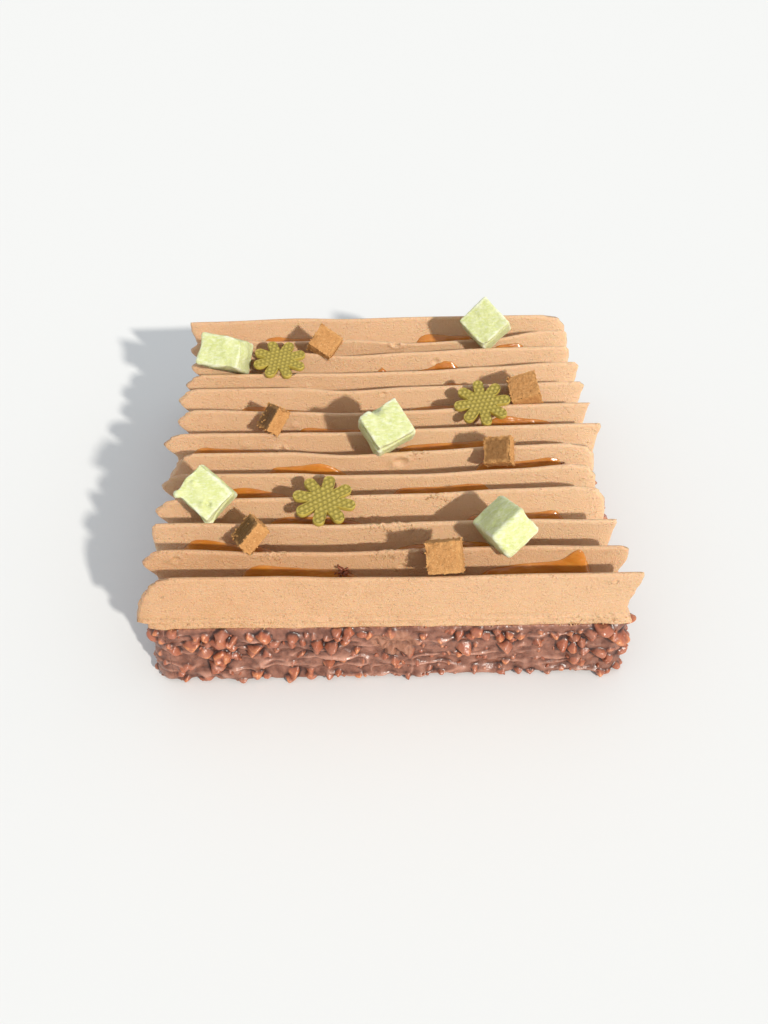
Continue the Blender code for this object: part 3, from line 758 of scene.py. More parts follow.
@dataclass
class PipedCream:
    """The thirteen rows of cream, as one skin each over along and round."""

    lines: tuple = LINES
    back: float = 83.5 * MM
    front: float = -84.2 * MM
    slab_height: float = 28.4 * MM
    slab_slope: float = -0.018
    crest: float = 51.0 * MM
    crest_half: float = 0.9 * MM
    gap: float = 0.3 * MM
    trimmed_foot: float = 4.5 * MM
    lift: float = 0.05 * MM
    taper: float = 6 * MM
    left_least: float = 0.5
    right_least: float = 0.7
    tip_round: float = 1.3 * MM
    stations: int = 460
    flank_points: int = 30
    front_flank_points: int = 56
    wander_at: tuple = (-80.0, -42.0, -15.0, 15.0, 50.0, 80.0)
    sway: float = 0.55
    rise: float = 0.4
    end_rough: float = 0.5
    front_end_rough: float = 0.2
    swell: float = 0.2 * MM
    swell_size: tuple = (20 * MM, 6 * MM, 7 * MM)
    drag: float = 0.07 * MM
    drag_size: tuple = (40 * MM, 2 * MM, 1.2 * MM)
    torn_out: float = 0.55 * MM

    @property
    def last(self) -> int:
        """The number of the front row."""
        return len(self.lines) - 1

    def spacing(self) -> float:
        """How far apart the crests are."""
        return (self.back - self.front) / self.last

    def place(self, number: int) -> float:
        """Y of a row's crest, the back row being number 0."""
        return self.back - self.spacing() * number

    def slab_top(self, x: Array) -> Array:
        """The height of the slab's top, which falls a little from the left to the right."""
        return self.slab_height + self.slab_slope * x

    def half_width(self, number: int, height: Array, side: Array) -> Array:
        """Half a row's width at a share of its height: a wide foot, hollow flanks and a round crest.

        The front row's front flank is trimmed, so its foot is narrower.
        """
        foot = 0.5 * self.spacing() - 0.5 * self.gap - 0.05 * MM
        if number == self.last:
            foot = np.where(side < 0, self.trimmed_foot, foot)
        width = self.crest_half + (foot - self.crest_half) * (1 - height) ** 1.25
        over = np.clip((height - 0.95) / 0.05, 0, 1)
        return width * np.sqrt(np.maximum(1 - over**2, 0))

    def narrowing(self, to_end: Array, least: float) -> Array:
        """The share of its width that a row keeps near an end: a round curve to the least, then to none."""
        inside = np.clip(to_end / self.taper, 0, 1)
        tip = np.clip(to_end / self.tip_round, 0, 1)
        return (least + (1 - least) * np.sqrt(1 - (1 - inside) ** 2)) * np.sqrt(1 - (1 - tip) ** 2)

    def surface(self, number: int, along: Array, height: Array, side: Array) -> Array:
        """Points on a row's skin.

        The foot stands on the slab and the crest wanders, so height runs up a line that leans from one to
        the other. Side moves the point off that line by the half width, less near the ends.

        Args:
            number: the row, 0 at the back.
            along: from -1 at the left end to 1 at the right one.
            height: from 0 at the foot to 1 at the crest.
            side: -1 on the front flank and 1 on the back one.

        Returns:
            The points, with one more axis for X, Y and Z.
        """
        line = self.lines[number]
        ragged = np.stack([height * 4, side, np.zeros_like(height)], -1)
        rough = self.front_end_rough if number == self.last else self.end_rough
        left = line.left + line.left_end.draw(height) + rough * layered(ragged, 0.9, number)
        right = line.right - line.right_end.draw(height) + rough * layered(ragged, 0.9, number + 40)
        x_mm = 0.5 * (left + right) + 0.5 * (right - left) * along
        narrow = self.narrowing((x_mm - left) * MM, self.left_least)
        narrow = narrow * self.narrowing((right - x_mm) * MM, self.right_least)
        wander = eased(x_mm, self.wander_at, line.wander) * MM
        x = x_mm * MM
        foot = self.slab_top(x) + self.lift
        crest = self.crest + self.rise * wander
        half = self.half_width(number, height, side) * narrow
        y = self.place(number) + self.sway * wander * height**1.5 + side * half
        return np.stack([x, y, foot + (crest - foot) * height], axis=-1)

    def front_flank(self, number: int, x_mm: Array, height: Array) -> Array:
        """Points on a row's front flank at X in mm and shares of its height."""
        line = self.lines[number]
        along = (x_mm - 0.5 * (line.left + line.right)) / (0.5 * (line.right - line.left))
        points = self.surface(number, along, height, -np.ones_like(height))
        points[..., 0] = x_mm * MM
        return points

    def relief(self, number: int, points: Array, height: Array, side: Array) -> Array:
        """How far the cream stands out from its plain skin, in metres.

        Soft swells that fade towards the crest, drag lines along the piping that are stronger near the
        right end, the marks, ragged stretches of the crest, and on the front row a rough lip.

        Args:
            number: the row.
            points: the plain skin.
            height: the share of the row's height.
            side: which flank.

        Returns:
            One distance a point.
        """
        x = points[..., 0]
        out = self.swell * layered(points, self.swell_size, number) * step(height, 1.0, 0.7)
        drag = 0.2 + 0.8 * step(x, 0.05, 0.085)
        out += self.drag * drag * noise(points, self.drag_size, number + 90)
        tall = self.crest - self.slab_height
        for row, at, level, wide, deep in MARKS:
            if row == number + 1:
                apart = np.hypot((x / MM - at) / 1.5, tall / MM * (height - level)) / wide
                rim = 0.4 * max(deep, 0) * np.exp(-3 * (apart - 1.7) ** 2)
                out += np.where(side < 0, MM * (rim - deep * np.exp(-(apart**2))), 0)
        rough = layered(points, 1.1 * MM, 300)
        for start, end in self.lines[number].torn:
            share = step(x / MM, start - 2, start + 1) * step(x / MM, end + 2, end - 1)
            out += self.torn_out * share * step(height, 0.9, 0.98) * rough
        if number == self.last:
            out += self.lip(points, height, rough) * step(side, 0.5, -0.5)
        return out

    def lip(self, points: Array, height: Array, rough: Array) -> Array:
        """How far the lip at the foot of the front row stands out, less its two creases.

        Args:
            points: the plain skin.
            height: the share of the row's height.
            rough: fine noise there.

        Returns:
            One distance a point.
        """
        x = points[..., 0]
        wave = 0.02 * noise(points, (13 * MM, 20 * MM, 20 * MM), 301)
        ragged = 0.35 + 0.75 * step(x, 0.055, 0.08) + 0.4 * step(x, -0.055, -0.075)
        soft = layered(points, (7 * MM, 9 * MM, 3 * MM), 302)
        swell = step(height + wave, 0.225, 0.195) * (0.75 + 0.5 * ragged * rough + 0.7 * soft)
        upper = np.exp(-(((height + wave - 0.212) / 0.012) ** 2))
        lower = np.exp(-(((height - wave - 0.1) / 0.012) ** 2))
        return MM * (swell - 0.45 * (upper + 0.6 * lower))

    def painted_sheen(self, points: Array) -> Array:
        """How much painted sheen pales the cream: more to the right, and more behind the two front rows."""
        behind = step(points[:, 1], self.place(self.last - 1) + 3 * MM, self.place(self.last - 2) - 3 * MM)
        return np.clip(0.2 + 0.28 * points[:, 0] / (90 * MM) + 0.45 * behind, 0, 1)

    def build(self, number: int, dents: "Dents") -> tuple[Array, Array]:
        """The skin of one row.

        The grid runs along the row and round its section, from the front foot over the crest to the back
        foot. The ends close front to back, and the underside closes the section.

        Args:
            number: the row.
            dents: what presses into it.

        Returns:
            Points and faces.
        """
        places = np.linspace(-1, 1, self.stations)
        places = places + 0.045 * np.sin(math.pi * places)
        count = self.front_flank_points if number == self.last else self.flank_points
        up = np.sin(0.5 * math.pi * np.linspace(0, 1, count)) ** 1.15
        heights = np.concatenate([up, up[-2::-1]])
        sides = np.repeat([-1.0, 1.0], [count, count - 1])
        along, height = np.meshgrid(places, heights, indexing="ij")
        side = np.broadcast_to(sides, along.shape)
        points = self.surface(number, along, height, side)
        normals = grid_normals(points)
        normals = normals * np.sign(np.sum(normals * [0, -1, 0], axis=-1) * -side + 1e-9)[..., None]
        fade = step(1 - np.abs(along), 0.0, 0.012) * step(height, 0.0, 0.015)
        points = points + normals * (self.relief(number, points, height, side) * fade)[..., None]
        points = dents.press(points)
        around = len(heights)
        faces = grid_faces(self.stations, around, close_columns=True)
        half = np.arange((around - 1) // 2)
        cap = np.stack([half, half + 1, around - 2 - half, around - 1 - half], -1)
        last = (self.stations - 1) * around
        faces = np.concatenate([faces[:, ::-1], cap[:, ::-1], cap + last])
        return points.reshape(-1, 3), faces


@dataclass
class Dents:
    """The toppings as they press into the cream."""

    cubes: tuple
    flowers: tuple
    clearance: float = 0.15 * MM
    wafer_half: float = 1.1 * MM
    flower_radius: float = 12.0 * MM
    reach_over: float = 4 * MM
    rim: float = 1.5 * MM

    def press(self, points: Array) -> Array:
        """Move points out of every topping to its nearest face.

        Args:
            points: the cream's skin.

        Returns:
            The dented skin.
        """
        for cube in self.cubes:
            points = self.push(points, cube.middle, cube.turn, 0.5 * MM * np.array(cube.size))
        for middle, turn in self.flowers:
            points = self.push_under(points, middle, turn)
        return points

    def push(self, points: Array, middle: tuple, turn: tuple, half: Array) -> Array:
        """Points inside a turned box moved to the face they are nearest to."""
        local = (points - np.array(middle) * MM) @ turn_matrix(turn)
        depth = half + self.clearance - np.abs(local)
        inside = (depth > 0).all(axis=-1)
        axis = np.argmin(depth, axis=-1)
        chosen = np.arange(3) == axis[..., None]
        moved = np.where(chosen, np.sign(local) * (half + self.clearance), local)
        return turned(np.where(inside[..., None], moved, local), turn, middle)

    def push_under(self, points: Array, middle: tuple, turn: tuple) -> Array:
        """Points inside a flower's disc, or just over it, moved to its underside."""
        local = (points - np.array(middle) * MM) @ turn_matrix(turn)
        radius = np.hypot(local[..., 0], local[..., 1])
        floor = -self.wafer_half - self.clearance
        inside = (radius < self.flower_radius) & (local[..., 2] > floor) & (local[..., 2] < self.reach_over)
        edge = step(radius, self.flower_radius, self.flower_radius - self.rim)
        lowered = local[..., 2] + (floor - local[..., 2]) * edge
        local[..., 2] = np.where(inside, lowered, local[..., 2])
        return turned(local, turn, middle)


@dataclass
class SoftCaramel:
    """The strands of caramel between the rows."""

    cream: PipedCream
    stations: int = 120
    sides: int = 22
    depth: float = 1.7 * MM
    foot: float = 37.4 * MM

    def build(self, number: int, edge: Outline) -> tuple[Array, Array]:
        """One strand: a lens on the row's front flank, from the foot up to the given edge.

        Round its section the height swings between foot and edge as a sine. The depth swings as a cosine
        from the flank outwards, more below than above. Both shrink to nothing at the ends.

        Args:
            number: the row that it lies against.
            edge: X and Z of its upper edge, in mm.

        Returns:
            Points and faces.
        """
        x_mm, z_mm = np.array(edge, float).T
        share = np.sin(0.5 * math.pi * np.linspace(-1, 1, self.stations))
        x = x_mm[0] + (x_mm[-1] - x_mm[0]) * 0.5 * (share + 1)
        size = np.sqrt(np.maximum(1 - share**8, 0))
        top = np.convolve(np.pad(np.interp(x, x_mm, z_mm), 4, "edge"), np.full(9, 1 / 9), "valid") * MM
        turn = np.linspace(0, 2 * math.pi, self.sides, endpoint=False)
        spot = np.stack([x * MM, np.zeros_like(x), np.zeros_like(x)], -1)
        half = 0.5 * (top - self.foot) * size
        z = (0.5 * (top + self.foot))[:, None] + half[:, None] * np.sin(turn)
        low = self.cream.slab_height
        level = np.clip((z - low) / (self.cream.crest - low), 0, 1)
        points = self.cream.front_flank(number, np.broadcast_to(x[:, None], level.shape), level)
        uneven = 1 + 0.25 * layered(spot, 6 * MM, 200 + number)
        thick = self.depth * uneven[:, None] * (1 - 0.5 * np.sin(turn))
        bulge = np.where(np.cos(turn) < 0, thick * np.cos(turn), 0.6 * MM * np.cos(turn))
        points[..., 1] += bulge * size[:, None]
        points[..., 2] = z
        faces = grid_faces(self.stations, self.sides, close_columns=True)
        return points.reshape(-1, 3), faces


@dataclass
class Slab:
    """The coated slab: four walls of glaze with nuts in it, and a plain top and underside.

    Ledges are where the front's glaze ran over itself: X and Z in mm, reach and drop in mm. Front nuts are
    given by X, Z and size in mm, side nuts by the distance along the edge, the share of the height and the
    size in mm. Scraped is the patch on the front where the glaze was scraped: its X and Z and half its
    width and height, in mm. Roll and fold are how far the skin's rolls and folds stand out, in mm.
    """

    cream: PipedCream
    side: float = 180 * MM
    corner: float = 6 * MM
    wave: float = 0.5 * MM
    columns: int = 2400
    rows: int = 100
    nuts: int = 600
    nut_size: float = 4.4 * MM
    drips: int = 64
    nut_levels: int = 6
    nut_sides: int = 6
    nut_hardness: float = 13.0
    fillet: float = 0.5 * MM
    roll: float = 1.5
    roll_size: tuple = (10 * MM, 10 * MM, 5 * MM)
    fold: float = 0.9
    fold_size: tuple = (15 * MM, 15 * MM, 5 * MM)
    scrape: float = 0.7 * MM
    limits: tuple = (-1.8 * MM, 3.8 * MM)
    ledges: tuple = (
        (-63.8, 13.5, 9, 1.3), (-20.2, 12.0, 8, 1.9), (-42, 8.5, 8, 0.9), (33, 12, 6, 1.1), (62, 9, 8, 1.1),
    )
    scraped: tuple = (2, 20, 10, 7)
    front_nuts: tuple = (
        (-51.5, 16.8, 6.5), (-43.3, 17.3, 4.8), (-36.6, 24.9, 4.6), (-33.3, 22.6, 4.6), (-28.8, 24.9, 3.6),
        (-23.6, 23.8, 4.2), (-19.9, 23.8, 4.0), (-16.5, 25.0, 4.4), (-10.6, 25.0, 4.5), (-73.1, 24.9, 3.6),
        (4.3, 17.3, 4.5), (25.9, 24.4, 5.0), (27.8, 16.8, 6.0), (41.2, 22.5, 4.5), (44.5, 23.6, 4.5),
        (49.0, 23.0, 5.5), (55.3, 19.6, 4.5), (69.4, 20.8, 4.5), (84.5, 22.5, 6.0), (-83.5, 20.5, 4.0),
    )
    side_nuts: tuple = (
        (3.93, 0.92, 5.5), (3.97, 0.86, 6.5), (0.965, 0.74, 7), (0.985, 0.5, 5.5), (1.12, 0.8, 6),
        (1.2, 0.7, 6), (1.32, 0.66, 8), (1.36, 0.8, 6.5), (1.43, 0.88, 8),
    )
    seed: int = 77

    def outline(self, run: Array, inset: Array) -> tuple[Array, Array]:
        """Points round the slab at a distance along its edge, and the outward directions there.

        Args:
            run: from 0 to 4, one a side, each side a straight stretch and then its corner's arc.
            inset: how far the outline is drawn in.

        Returns:
            X and Y of the points, and of the directions.
        """
        straight = self.side - 2 * self.corner
        arc = 0.5 * math.pi * self.corner
        part = (run % 1) * (straight + arc)
        turn = np.clip(part - straight, 0, None) / self.corner
        reach = self.corner - inset
        x = np.minimum(part, straight) - 0.5 * straight + reach * np.sin(turn)
        y = -0.5 * straight - reach * np.cos(turn)
        angle = 0.5 * math.pi * np.floor(run % 4)
        flat = np.stack([x * np.cos(angle) - y * np.sin(angle), x * np.sin(angle) + y * np.cos(angle)], -1)
        facing = turn + angle - 0.5 * math.pi
        return flat, np.stack([np.cos(facing), np.sin(facing)], -1)

    def quarter(self) -> float:
        """The length of the edge from one corner's end to the next one's."""
        return self.side - 2 * self.corner + 0.5 * math.pi * self.corner

    def chips(self) -> Array:
        """Where the nuts sit: a jittered lattice in clusters, the front's own, the corners' own and drips.

        Returns:
            Run, share of the height and size, one row a nut.
        """
        draw = np.random.default_rng(self.seed)
        count = self.nuts // self.nut_levels
        run, level = np.meshgrid(np.arange(count), np.arange(self.nut_levels), indexing="ij")
        run = (run + 0.5 * (level % 2) + draw.uniform(-0.6, 0.6, run.shape)) / count * 4
        level = (level + 0.5 + draw.uniform(-0.6, 0.6, level.shape)) / self.nut_levels
        spots = np.stack([run * self.quarter(), np.zeros_like(run), level * self.cream.slab_height], -1)
        cluster = 0.6 + 0.65 * step(noise(spots, 14 * MM, 4), -0.35, 0.2)
        size = self.nut_size * draw.lognormal(-0.05, 0.3, run.shape).clip(0.4, 1.5) * cluster
        spread = np.stack([run % 4, level.clip(0.03, 0.94), size], -1).reshape(-1, 3)
        x, z, size = np.array(self.front_nuts).T * MM
        run = (x + 0.5 * self.side - self.corner) / self.quarter() % 4
        own = np.stack([run, z / self.cream.slab_height, size], -1)
        corner = np.array(self.side_nuts) * [1, 1, MM]
        run = 4 * (np.arange(self.drips) + draw.uniform(0, 1, self.drips)) / self.drips
        level = draw.uniform(0.02, 0.1, self.drips)
        drips = np.stack([run, level, draw.uniform(2.6, 5.2, self.drips) * MM], -1)
        return np.concatenate([spread, own, corner, drips])

    def inset(self, level: Array) -> Array:
        """How far the wall is drawn in at a share of its height: rounded below, and a little at the top."""
        under = 1.8 * MM * np.clip(1 - level / 0.07, 0, 1) ** 2
        bead = 1.1 * MM * np.exp(-(((level - 0.08) / 0.09) ** 2))
        return under - bead + 0.9 * MM * np.clip((level - 0.93) / 0.07, 0, 1) ** 2 + 0.2 * MM * level

    def chip(self, u: Array, v: Array, size: float, draw: np.random.Generator) -> Array:
        """The height of one nut over its place: a soft least of a few slanted planes and a tilted top.

        The soft least of heights is the logarithm of the mean of their falling exponentials.

        Args:
            u: distances along the wall from the nut's middle.
            v: distances up the wall from it.
            size: the nut's size.
            draw: where its planes come from.

        Returns:
            One height a point, below zero outside the nut.
        """
        sides, hard = self.nut_sides, self.nut_hardness
        angle = (np.arange(sides) + draw.uniform(-0.35, 0.35, sides)) * 2 * math.pi / sides
        angle = angle + draw.uniform(0, 6)
        reach = 0.5 * draw.uniform(0.75, 1.1, sides)
        slope = draw.uniform(1.1, 3.0, sides)
        tilt = draw.uniform(-0.5, 0.5, 2)
        u_share, v_share = u / size, v / size
        total = np.exp(-hard * (draw.uniform(0.42, 0.72) + tilt[0] * u_share + tilt[1] * v_share))
        for number in range(sides):
            off = reach[number] - u_share * math.cos(angle[number]) - v_share * math.sin(angle[number])
            total += np.exp(-hard * np.clip(off * slope[number], -3, 3))
        return -np.log(total) / hard * size

    def relief(self, run: Array, level: Array, places: Array) -> tuple[Array, dict[str, Array]]:
        """How far the glaze stands out, and its masks: nut, thin, scraped, deep and proud.

        Broad waves and folds carry the nuts. The glaze is thin on a nut's ridges and in the scraped patch.
        Deep is painted shade where the wall lies below the mean about it and near its foot, and proud is a
        painted sheen where it lies above.

        Args:
            run: the distance along the edge, from 0 to 4.
            level: the share of the height.
            places: the plain wall.

        Returns:
            The outward distance and the masks.
        """
        x, z = places[..., 0], places[..., 2]
        front = step(-places[..., 1], 0.085, 0.088)
        at_x, at_z, wide, tall = self.scraped
        apart = np.hypot((x - at_x * MM) / (wide * MM), (z - at_z * MM) / (tall * MM))
        scraped = front * step(apart + 0.35 * layered(places, 3 * MM, 8), 1.0, 0.75)
        out = self.swells(level, places) + front * self.folds(places)
        out += scraped * self.scrape * layered(places, 1.5 * MM, 9, 4)
        nut, bare = self.join_nuts(out, run[:, 0], level[0])
        out += 0.05 * MM * layered(places, 1.1 * MM, 33)
        near, far = softened(softened(out, 2), 2), softened(softened(out, 6), 6)
        ridge = step(out - near, 0.10 * MM, 0.30 * MM)
        thin = 0.35 * step(level, 0.965, 0.995) + 1.1 * bare * nut * ridge
        thin += scraped * step(layered(places, 1.6 * MM, 51), 0.35, 0.55)
        # painted shade: deep where the wall lies below the mean about it, and near the foot
        deep = 0.7 * step(far - out, 0.15 * MM, 1.1 * MM) + 0.6 * step(near - out, 0.03 * MM, 0.3 * MM)
        deep = (deep + 0.6 * step(level, 0.05, 0.0)) * (1 - 0.6 * scraped)
        # painted sheen: proud where the wall lies above the mean about it
        painted_raised_sheen = 0.75 * step(out - far, -0.1 * MM, 0.7 * MM) * (1 - 0.5 * nut)
        masks = {"nut": 0.9 * nut, "thin": thin, "scraped": scraped, "deep": deep, "painted_raised_sheen": painted_raised_sheen}
        return out, {name: np.clip(values, 0, 1) for name, values in masks.items()}

    def swells(self, level: Array, places: Array) -> Array:
        """The glaze's broad waves, its rolling skin and the crests of its folds, one distance a point."""
        wave = np.sin(places[..., 0] * 95 + 7 * level) + np.sin(places[..., 1] * 120 - 5 * level)
        out = 0.5 * self.wave * wave * np.sin(math.pi * level)
        rolling = self.roll * layered(places, self.roll_size, self.seed)
        rolling += noise(places, 4 * MM, self.seed + 9)
        fold = noise(places, self.fold_size, self.seed + 5)
        rolling += self.fold * (1 - np.abs(fold) * 3).clip(0, 1) ** 2
        return out + MM * rolling * step(level, 1.0, 0.85)

    def folds(self, places: Array) -> Array:
        """The ledges: the glaze stands out above each one's line and falls back below it."""
        x, z = places[..., 0], places[..., 2]
        out = np.zeros_like(x)
        for at_x, at_z, reach, drop in self.ledges:
            line = (z - at_z * MM) / MM - 1.2 * noise(places, 8 * MM, 61)
            share = np.exp(-(((x - at_x * MM) / (reach * MM)) ** 4)) * drop * MM
            over = step(line, -0.3, 0.3)
            above, below = np.exp(-line.clip(0) / 1.8), np.exp(line.clip(None, 0) / 1.6)
            out += share * (0.5 * over * above - (1 - over) * below)
        return out

    def join_nuts(self, out: Array, run: Array, level: Array) -> tuple[Array, Array]:
        """Join every nut to the glaze by a smooth maximum, so that the glaze runs up to it in a fillet.

        Args:
            out: how far the glaze stands out, changed in place.
            run: the distance along the edge of each column.
            level: the share of the height of each row.

        Returns:
            How much each point is nut, and how thin the glaze is there.
        """
        nut, bare = np.zeros_like(out), np.zeros_like(out)
        for number, (at_run, at_level, size) in enumerate(self.chips()):
            u = ((run - at_run + 2) % 4 - 2) * self.quarter()
            v = (level - at_level) * self.cream.slab_height
            near, rows = (np.flatnonzero(np.abs(part) < 0.8 * size) for part in (u, v))
            if not len(near):
                continue
            window = np.ix_(near, rows)
            draw = np.random.default_rng(self.seed * 1000 + number)
            shape = self.chip(*np.meshgrid(u[near], v[rows], indexing="ij"), size, draw)
            sunk = draw.uniform(0.0, 0.22) * size
            base = out[window]
            other = shape - sunk + 0.6 * base
            over = step(other - base, 0.0, 0.8 * MM)
            bare[window] = np.where(over > 0.3, draw.uniform(-0.3, 1.2), bare[window])
            nut[window] = np.maximum(nut[window], over * draw.uniform(0.5, 1.0))
            blend = np.maximum(self.fillet - np.abs(base - other), 0) ** 2 / (4 * self.fillet)
            out[window] = np.maximum(base, other) + blend
        return nut, bare

    def wall(self, side: int) -> tuple[Array, Array, dict[str, Array], Array]:
        """A quarter of the slab: one wall with its share of the top and the underside.

        Args:
            side: 0 is the front, then to the right all round.

        Returns:
            Points, faces, masks, and the wall alone as a grid of points.
        """
        level = np.linspace(0, 1, self.rows)
        run = side + np.linspace(0, 1, self.columns // 4 + 1)
        run, level = np.meshgrid(run, level, indexing="ij")
        flat, outward = self.outline(run, self.inset(level))
        uneven = 0.35 * MM * noise(flat[..., [0, 1, 1]], 3 * MM, 12)
        top = self.cream.slab_top(flat[..., 0]) + uneven * step(level, 0.8, 0.95)
        plain = np.concatenate([flat, (top * level)[..., None]], -1)
        out, masks = self.relief(run, level, plain)
        out = np.clip(out, *self.limits) * step(level, -0.02, 0.02)
        points = plain.copy()
        points[..., :2] += outward * out[..., None]
        edge, _ = self.outline(run[:, :1], np.full_like(run[:, :1], 5 * MM))
        under = np.concatenate([edge, np.zeros_like(edge[..., :1])], -1)
        over = np.concatenate([edge, self.cream.slab_top(edge[..., :1])], -1)
        centre = np.zeros_like(under)
        top = centre + [0, 0, self.cream.slab_height]
        skin = np.concatenate([centre, under, points, over, top], axis=1)
        axis = np.zeros_like(skin[0])
        axis[:, 2] = np.linspace(0, self.cream.slab_height, len(axis))
        grid = grid_faces(*skin.shape[:2])
        parts = [(skin.reshape(-1, 3), grid)]
        for ring in (skin[0], skin[-1]):
            parts.append((np.concatenate([axis, ring]), grid_faces(2, len(axis))))
        whole, faces = join(parts)
        for name, values in masks.items():
            padded = np.pad(values, ((0, 0), (2, 2)))
            masks[name] = np.concatenate([padded.ravel(), np.zeros(len(whole) - padded.size)])
        return whole, faces, masks, points


class CrumbForm(Enum):
    """How much longer a scrap is along its own three axes."""

    ROUND = (1, 1, 1)
    NUT = (1.3, 0.8, 0.6)
    FLAKE = (1.5, 0.8, 0.7)
    SMEAR = (2.0, 0.7, 0.5)
    SPLINTER = (2.2, 0.7, 0.6)


@dataclass
class Crumbs:
    """Small angular scraps, all of one kind in one mesh."""

    rings: int = 9
    sectors: int = 12
    planes: int = 9
    hardness: float = 9.0

    def build(self, places: Array, sizes: Array, seed: int, form: CrumbForm) -> tuple[Array, Array]:
        """Scraps at the places.

        Each is a ball cut by random planes: its radius in a direction is a soft least of the distances at
        which the direction meets the planes.

        Args:
            places: their middles.
            sizes: their widths.
            seed: picks the planes.
            form: how long and flat they are.

        Returns:
            Points and faces.
        """
        draw = np.random.default_rng(seed)
        tilt = np.linspace(0, math.pi, self.rings)
        turn = np.linspace(0, 2 * math.pi, self.sectors, endpoint=False)
        tilt, turn = np.meshgrid(tilt, turn, indexing="ij")
        flat = np.sin(tilt)
        ways = np.stack([flat * np.cos(turn), flat * np.sin(turn), np.cos(tilt)], -1).reshape(-1, 3)
        planes = draw.normal(size=(len(places), self.planes, 3))
        planes /= np.linalg.norm(planes, axis=-1, keepdims=True)
        near = draw.uniform(0.55, 1.0, (len(places), self.planes))
        facing = np.clip(np.einsum("pk,nfk->nfp", ways, planes), 0, 1) / near[..., None]
        reach = (np.sum(facing**self.hardness, axis=1) + 0.3) ** (-1 / self.hardness)
        shape = ways[None] * (0.5 * sizes[:, None] * reach)[..., None] * np.array(form.value)
        axes, _ = np.linalg.qr(draw.normal(size=(len(places), 3, 3)))
        points = np.einsum("npk,njk->npj", shape, axes) + places[:, None]
        grid = grid_faces(self.rings, self.sectors, close_columns=True)
        faces = grid[None] + (np.arange(len(places)) * len(ways))[:, None, None]
        return points.reshape(-1, 3), faces.reshape(-1, 4)


@dataclass
class Block:
    """A topping cube as a fine grid over its six sides."""

    steps: int = 44
    radius: float = 0.8 * MM
    swell: float = 0.5 * MM
    grain: float = 0.10 * MM
    grain_size: float = 1.2 * MM
    crumble: float = 0.0

    def surface(self, half: Array, radius: float) -> tuple[Array, Array, Array, Array]:
        """The rounded box: a box drawn in by the radius, and from it the radius outwards.

        Args:
            half: half the box's size.
            radius: how round its edges are.

        Returns:
            Points, outward directions, faces, and how near each point is to an edge, from 0 to 1.
        """
        t = np.linspace(-1, 1, self.steps + 1)
        t = t * (1.22 - 0.22 * t * t)
        a, b = np.meshgrid(t, t, indexing="ij")
        grid = grid_faces(*a.shape)
        parts = []
        for axis in range(3):
            for sign in (-1.0, 1.0):
                side = np.insert(np.stack([a, b], -1), axis, sign, axis=-1)
                parts.append((side.reshape(-1, 3), grid))
        cube, faces = join(parts)
        box = cube * half
        core = np.clip(box, radius - half, half - radius)
        facing = box - core
        facing /= np.linalg.norm(facing, axis=-1, keepdims=True)
        beside = np.sort(half - np.abs(box), axis=-1)[:, 1]
        return core + radius * facing, facing, faces, step(beside, 2.2 * MM, 0.0)

    def build(self, cube: Cube, number: int) -> tuple[Array, Array, Array, Array]:
        """A cube in its place.

        Args:
            cube: its size, place and turn.
            number: picks its pattern.

        Returns:
            Local points, faces, edge nearness, and outward directions.
        """
        half = 0.5 * MM * np.array(cube.size)
        points, facing, faces, edge = self.surface(half, self.radius + cube.softer * MM)
        spot = points + 0.1 * number
        out = self.swell * layered(spot, 7 * MM, number + 400)
        out += self.grain * layered(spot, self.grain_size, number + 500)
        out -= self.crumble * edge * (0.5 + layered(spot, 1.6 * MM, number + 600, 4)).clip(0, 1)
        upright = np.hypot(facing[:, 0], facing[:, 1])
        if cube.groove is not None:
            level = points[:, 2] / MM - cube.groove * half[2] / MM - 0.5 * noise(spot, 6 * MM, number)
            cleft = 0.8 * np.exp(-((level / 0.4) ** 2))
            out += upright * MM * (cube.below * step(level, 0.0, -0.6) - cleft)
        for mark, wide, tall in cube.marks:
            apart = np.linalg.norm(points - np.array(mark) * half, axis=1) / (wide * MM)
            out += tall * MM * np.exp(-(apart**2))
        return points + facing * out[:, None], faces, edge, facing


